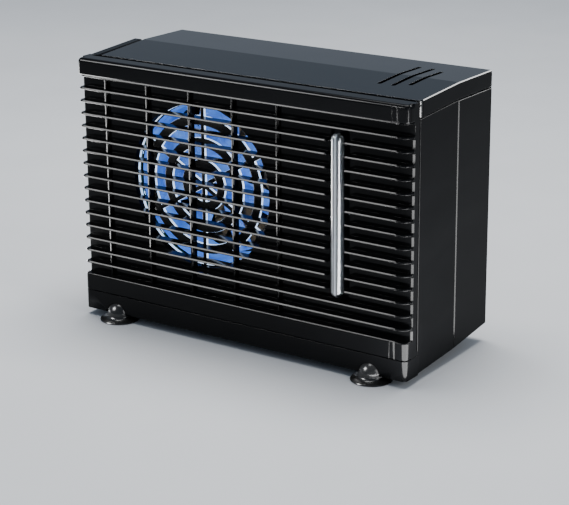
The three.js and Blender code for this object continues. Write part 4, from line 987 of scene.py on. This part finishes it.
def foot(node):
    """A domed rubber foot on a flared flange."""
    low, high = box_mm(node)
    centre = ((low.x + high.x) / 2, (low.y + high.y) / 2)
    flange = (high.x - low.x) / 2
    neck = flange - FLANGE_STEP
    middle = high.z - DOME_R
    profile = [(flange - 2.4, 0), (flange - 0.5, 0), (flange - 0.1, 0.25), (flange, 0.6), (neck, 1.0)]
    steps = 8
    for i in range(1, steps):
        t = i / steps
        profile.append((DOME_R + (neck - DOME_R) * (1 - t) ** 2, 1.0 + (middle - 1.0) * t ** 1.5))
    rise = 12
    for i in range(rise):
        angle = math.pi / 2 * i / rise
        profile.append((DOME_R * math.cos(angle), middle + DOME_R * math.sin(angle)))
    profile.append((0.05, high.z))
    bm = bmesh.new()
    turned(bm, profile, "z", centre, 64)
    add_drawn(node.replace("foot", "rubber_foot"), bm, [RUBBER], "case", [node])


sight_tube()
for foot_node in ("foot_front_left", "foot_front_right", "foot_rear_left", "foot_rear_right"):
    foot(foot_node)

# ---------------------------------------------------------------- wet pad


def wet_pad():
    """Corrugated layers glued crest to crest."""
    low, high = box_mm("evaporative_pad")
    wave, layer, thickness = 7.2, 5.0, 0.55
    bm = bmesh.new()
    count = int((high.z - low.z - 1) / layer)
    points = 96
    for i in range(count):
        base = low.z + 0.5 + layer * (i + 0.5)
        flip = 1 if i % 2 else -1
        upper, lower = [], []
        for k in range(points + 1):
            x = low.x + 0.3 + (high.x - low.x - 0.6) * k / points
            z = base + flip * (layer / 2 - thickness / 2) * math.sin(2 * math.pi * (x - low.x) / wave)
            upper.append((x, z + thickness / 2))
            lower.append((x, z - thickness / 2))
        prism(bm, [Vector(p) for p in upper + lower[::-1]], "y", low.y, high.y)
    add_drawn("fluted_pad", bm, [CELLULOSE], "case", ["evaporative_pad"], smooth_angle=60)


wet_pad()

# ---------------------------------------------------------------- the other pieces

OTHERS = [
    # node, name, body, edge rounding
    ("motor_can", "motor_case", "case", 0.0),
    ("motor_end_cap", "motor_cap", "case", 0.0),
    ("motor_shaft", "fan_axle", "rotor", 0.0),
    ("motor_armature", "motor_core", "rotor", 0.0),
    ("water_tank", "clear_tank", "case", 0.6),
    ("tank_outlet", "outlet_pipe", "case", 0.0),
    ("drip_tray", "tray", "case", 0.4),
    ("pad_frame", "pad_surround", "case", 0.4),
    ("switch_body", "switch_housing", "case", 0.3),
    ("switch_rocker", "rocker_button", "rocker", 0.4),
    ("power_inlet", "inlet_socket", "case", 0.0),
    ("inlet_nut", "socket_nut", "case", 0.0),
    ("control_board", "circuit_board", "case", 0.15),
    ("motor_lead_red", "red_lead", "case", 0.0),
    ("motor_lead_black", "black_lead", "case", 0.0),
    ("tube_port_lower", "port_seal_lower", "case", 0.0),
    ("tube_port_upper", "port_seal_upper", "case", 0.0),
    ("hinge_pin_left", "pin_left", "case", 0.0),
    ("hinge_pin_right", "pin_right", "case", 0.0),
    ("motor_magnet_left", "magnet_left", "case", 0.0),
    ("motor_magnet_right", "magnet_right", "case", 0.0),
    ("motor_bearing_front", "bush_front", "case", 0.0),
    ("motor_bearing_rear", "bush_rear", "case", 0.0),
]
for node_name, piece_name, body_name, rounding in OTHERS:
    refined(node_name, piece_name, FINISH_OF_SLOT[SLOT_OF_NODE[node_name]], body_name, rounding, 2.0)
for screw_kind in ("case_screw", "shroud_screw"):
    for number in range(1, 5):
        node_name = f"{screw_kind}_{number}"
        refined(node_name, f"{screw_kind}_steel_{number}", STEEL, "case")

# ---------------------------------------------------------------- floor and light

FLOOR_SIZE = 6           # metres, from the middle
LOW_PANEL_HEIGHT = 0.003


def make_floor():
    """A wide pale floor, for the renders only."""
    bm = bmesh.new()
    bmesh.ops.create_grid(bm, x_segments=1, y_segments=1, size=FLOOR_SIZE)
    mesh = bpy.data.meshes.new("floor")
    bm.to_mesh(mesh)
    bm.free()
    floor = bpy.data.objects.new("floor", mesh)
    bpy.context.collection.objects.link(floor)
    mesh.materials.append(floor_material())
    return floor


def add_light(name, place, turn, size, power, spared=None, passing=None):
    """A soft panel that the camera doesn't see, spares one collection and shines through another."""
    data = bpy.data.lights.new(name, "AREA")
    data.shape = "RECTANGLE"
    data.size, data.size_y = size
    data.energy = power
    light = bpy.data.objects.new(name, data)
    bpy.context.collection.objects.link(light)
    light.location = place
    light.rotation_euler = turn
    light.visible_camera = False
    if spared:
        light.light_linking.receiver_collection = spared
    if passing:
        light.light_linking.blocker_collection = passing


def panel(name, place, target, size, power, spared=None):
    """A panel that faces a point."""
    turn = (Vector(target) - Vector(place)).to_track_quat("-Z", "Y").to_euler()
    add_light(name, place, turn, size, power, spared)


def low_panel(name, place, heading, size, power, spared, passing=None):
    """A panel lying just above the floor and facing up; heading turns its long side."""
    turn = (math.pi, 0, math.radians(heading))
    add_light(name, (*place, LOW_PANEL_HEIGHT), turn, size, power, spared, passing)


def all_but(obj):
    """A light-linking collection that leaves out one object."""
    group = bpy.data.collections.new("all_but")
    group.objects.link(obj)
    group.collection_objects[0].light_linking.link_state = "EXCLUDE"
    return group


def make_world():
    """A dim, slightly blue sky light."""
    world = bpy.data.worlds.new("studio")
    bpy.context.scene.world = world
    world.use_nodes = True
    background = world.node_tree.nodes["Background"]
    background.inputs["Color"].default_value = (0.66, 0.80, 1.0, 1)
    background.inputs["Strength"].default_value = 0.32


off_floor = all_but(make_floor())
through_louvres = all_but(bpy.data.objects["louvre_cover"])
make_world()
panel("key", (-0.80, -0.85, 0.90), (0, 0, 0.08), (0.50, 0.45), 30, spared=off_floor)
panel("top", (-0.1, 0.2, 1.4), (0, 0, 0.1), (1.0, 0.8), 26)
panel("right", (1.1, -0.2, 0.5), (0, 0, 0.08), (0.35, 0.6), 3)
panel("back_left", (-0.66, 0.98, 0.355), (0, 0, 0.15), (1.1, 0.21), 0.05, spared=off_floor)
panel("rim", (0.40, 1.02, 0.80), (0.1, 0, 0.16), (0.45, 0.40), 8, spared=off_floor)
# reflectors lying beside the object, which draw the upright edges
low_panel("low_left", (-0.525, -0.01), 0, (0.65, 0.26), 14, off_floor, through_louvres)
low_panel("low_right", (0.41, -0.205), -30, (0.66, 0.16), 13, off_floor)
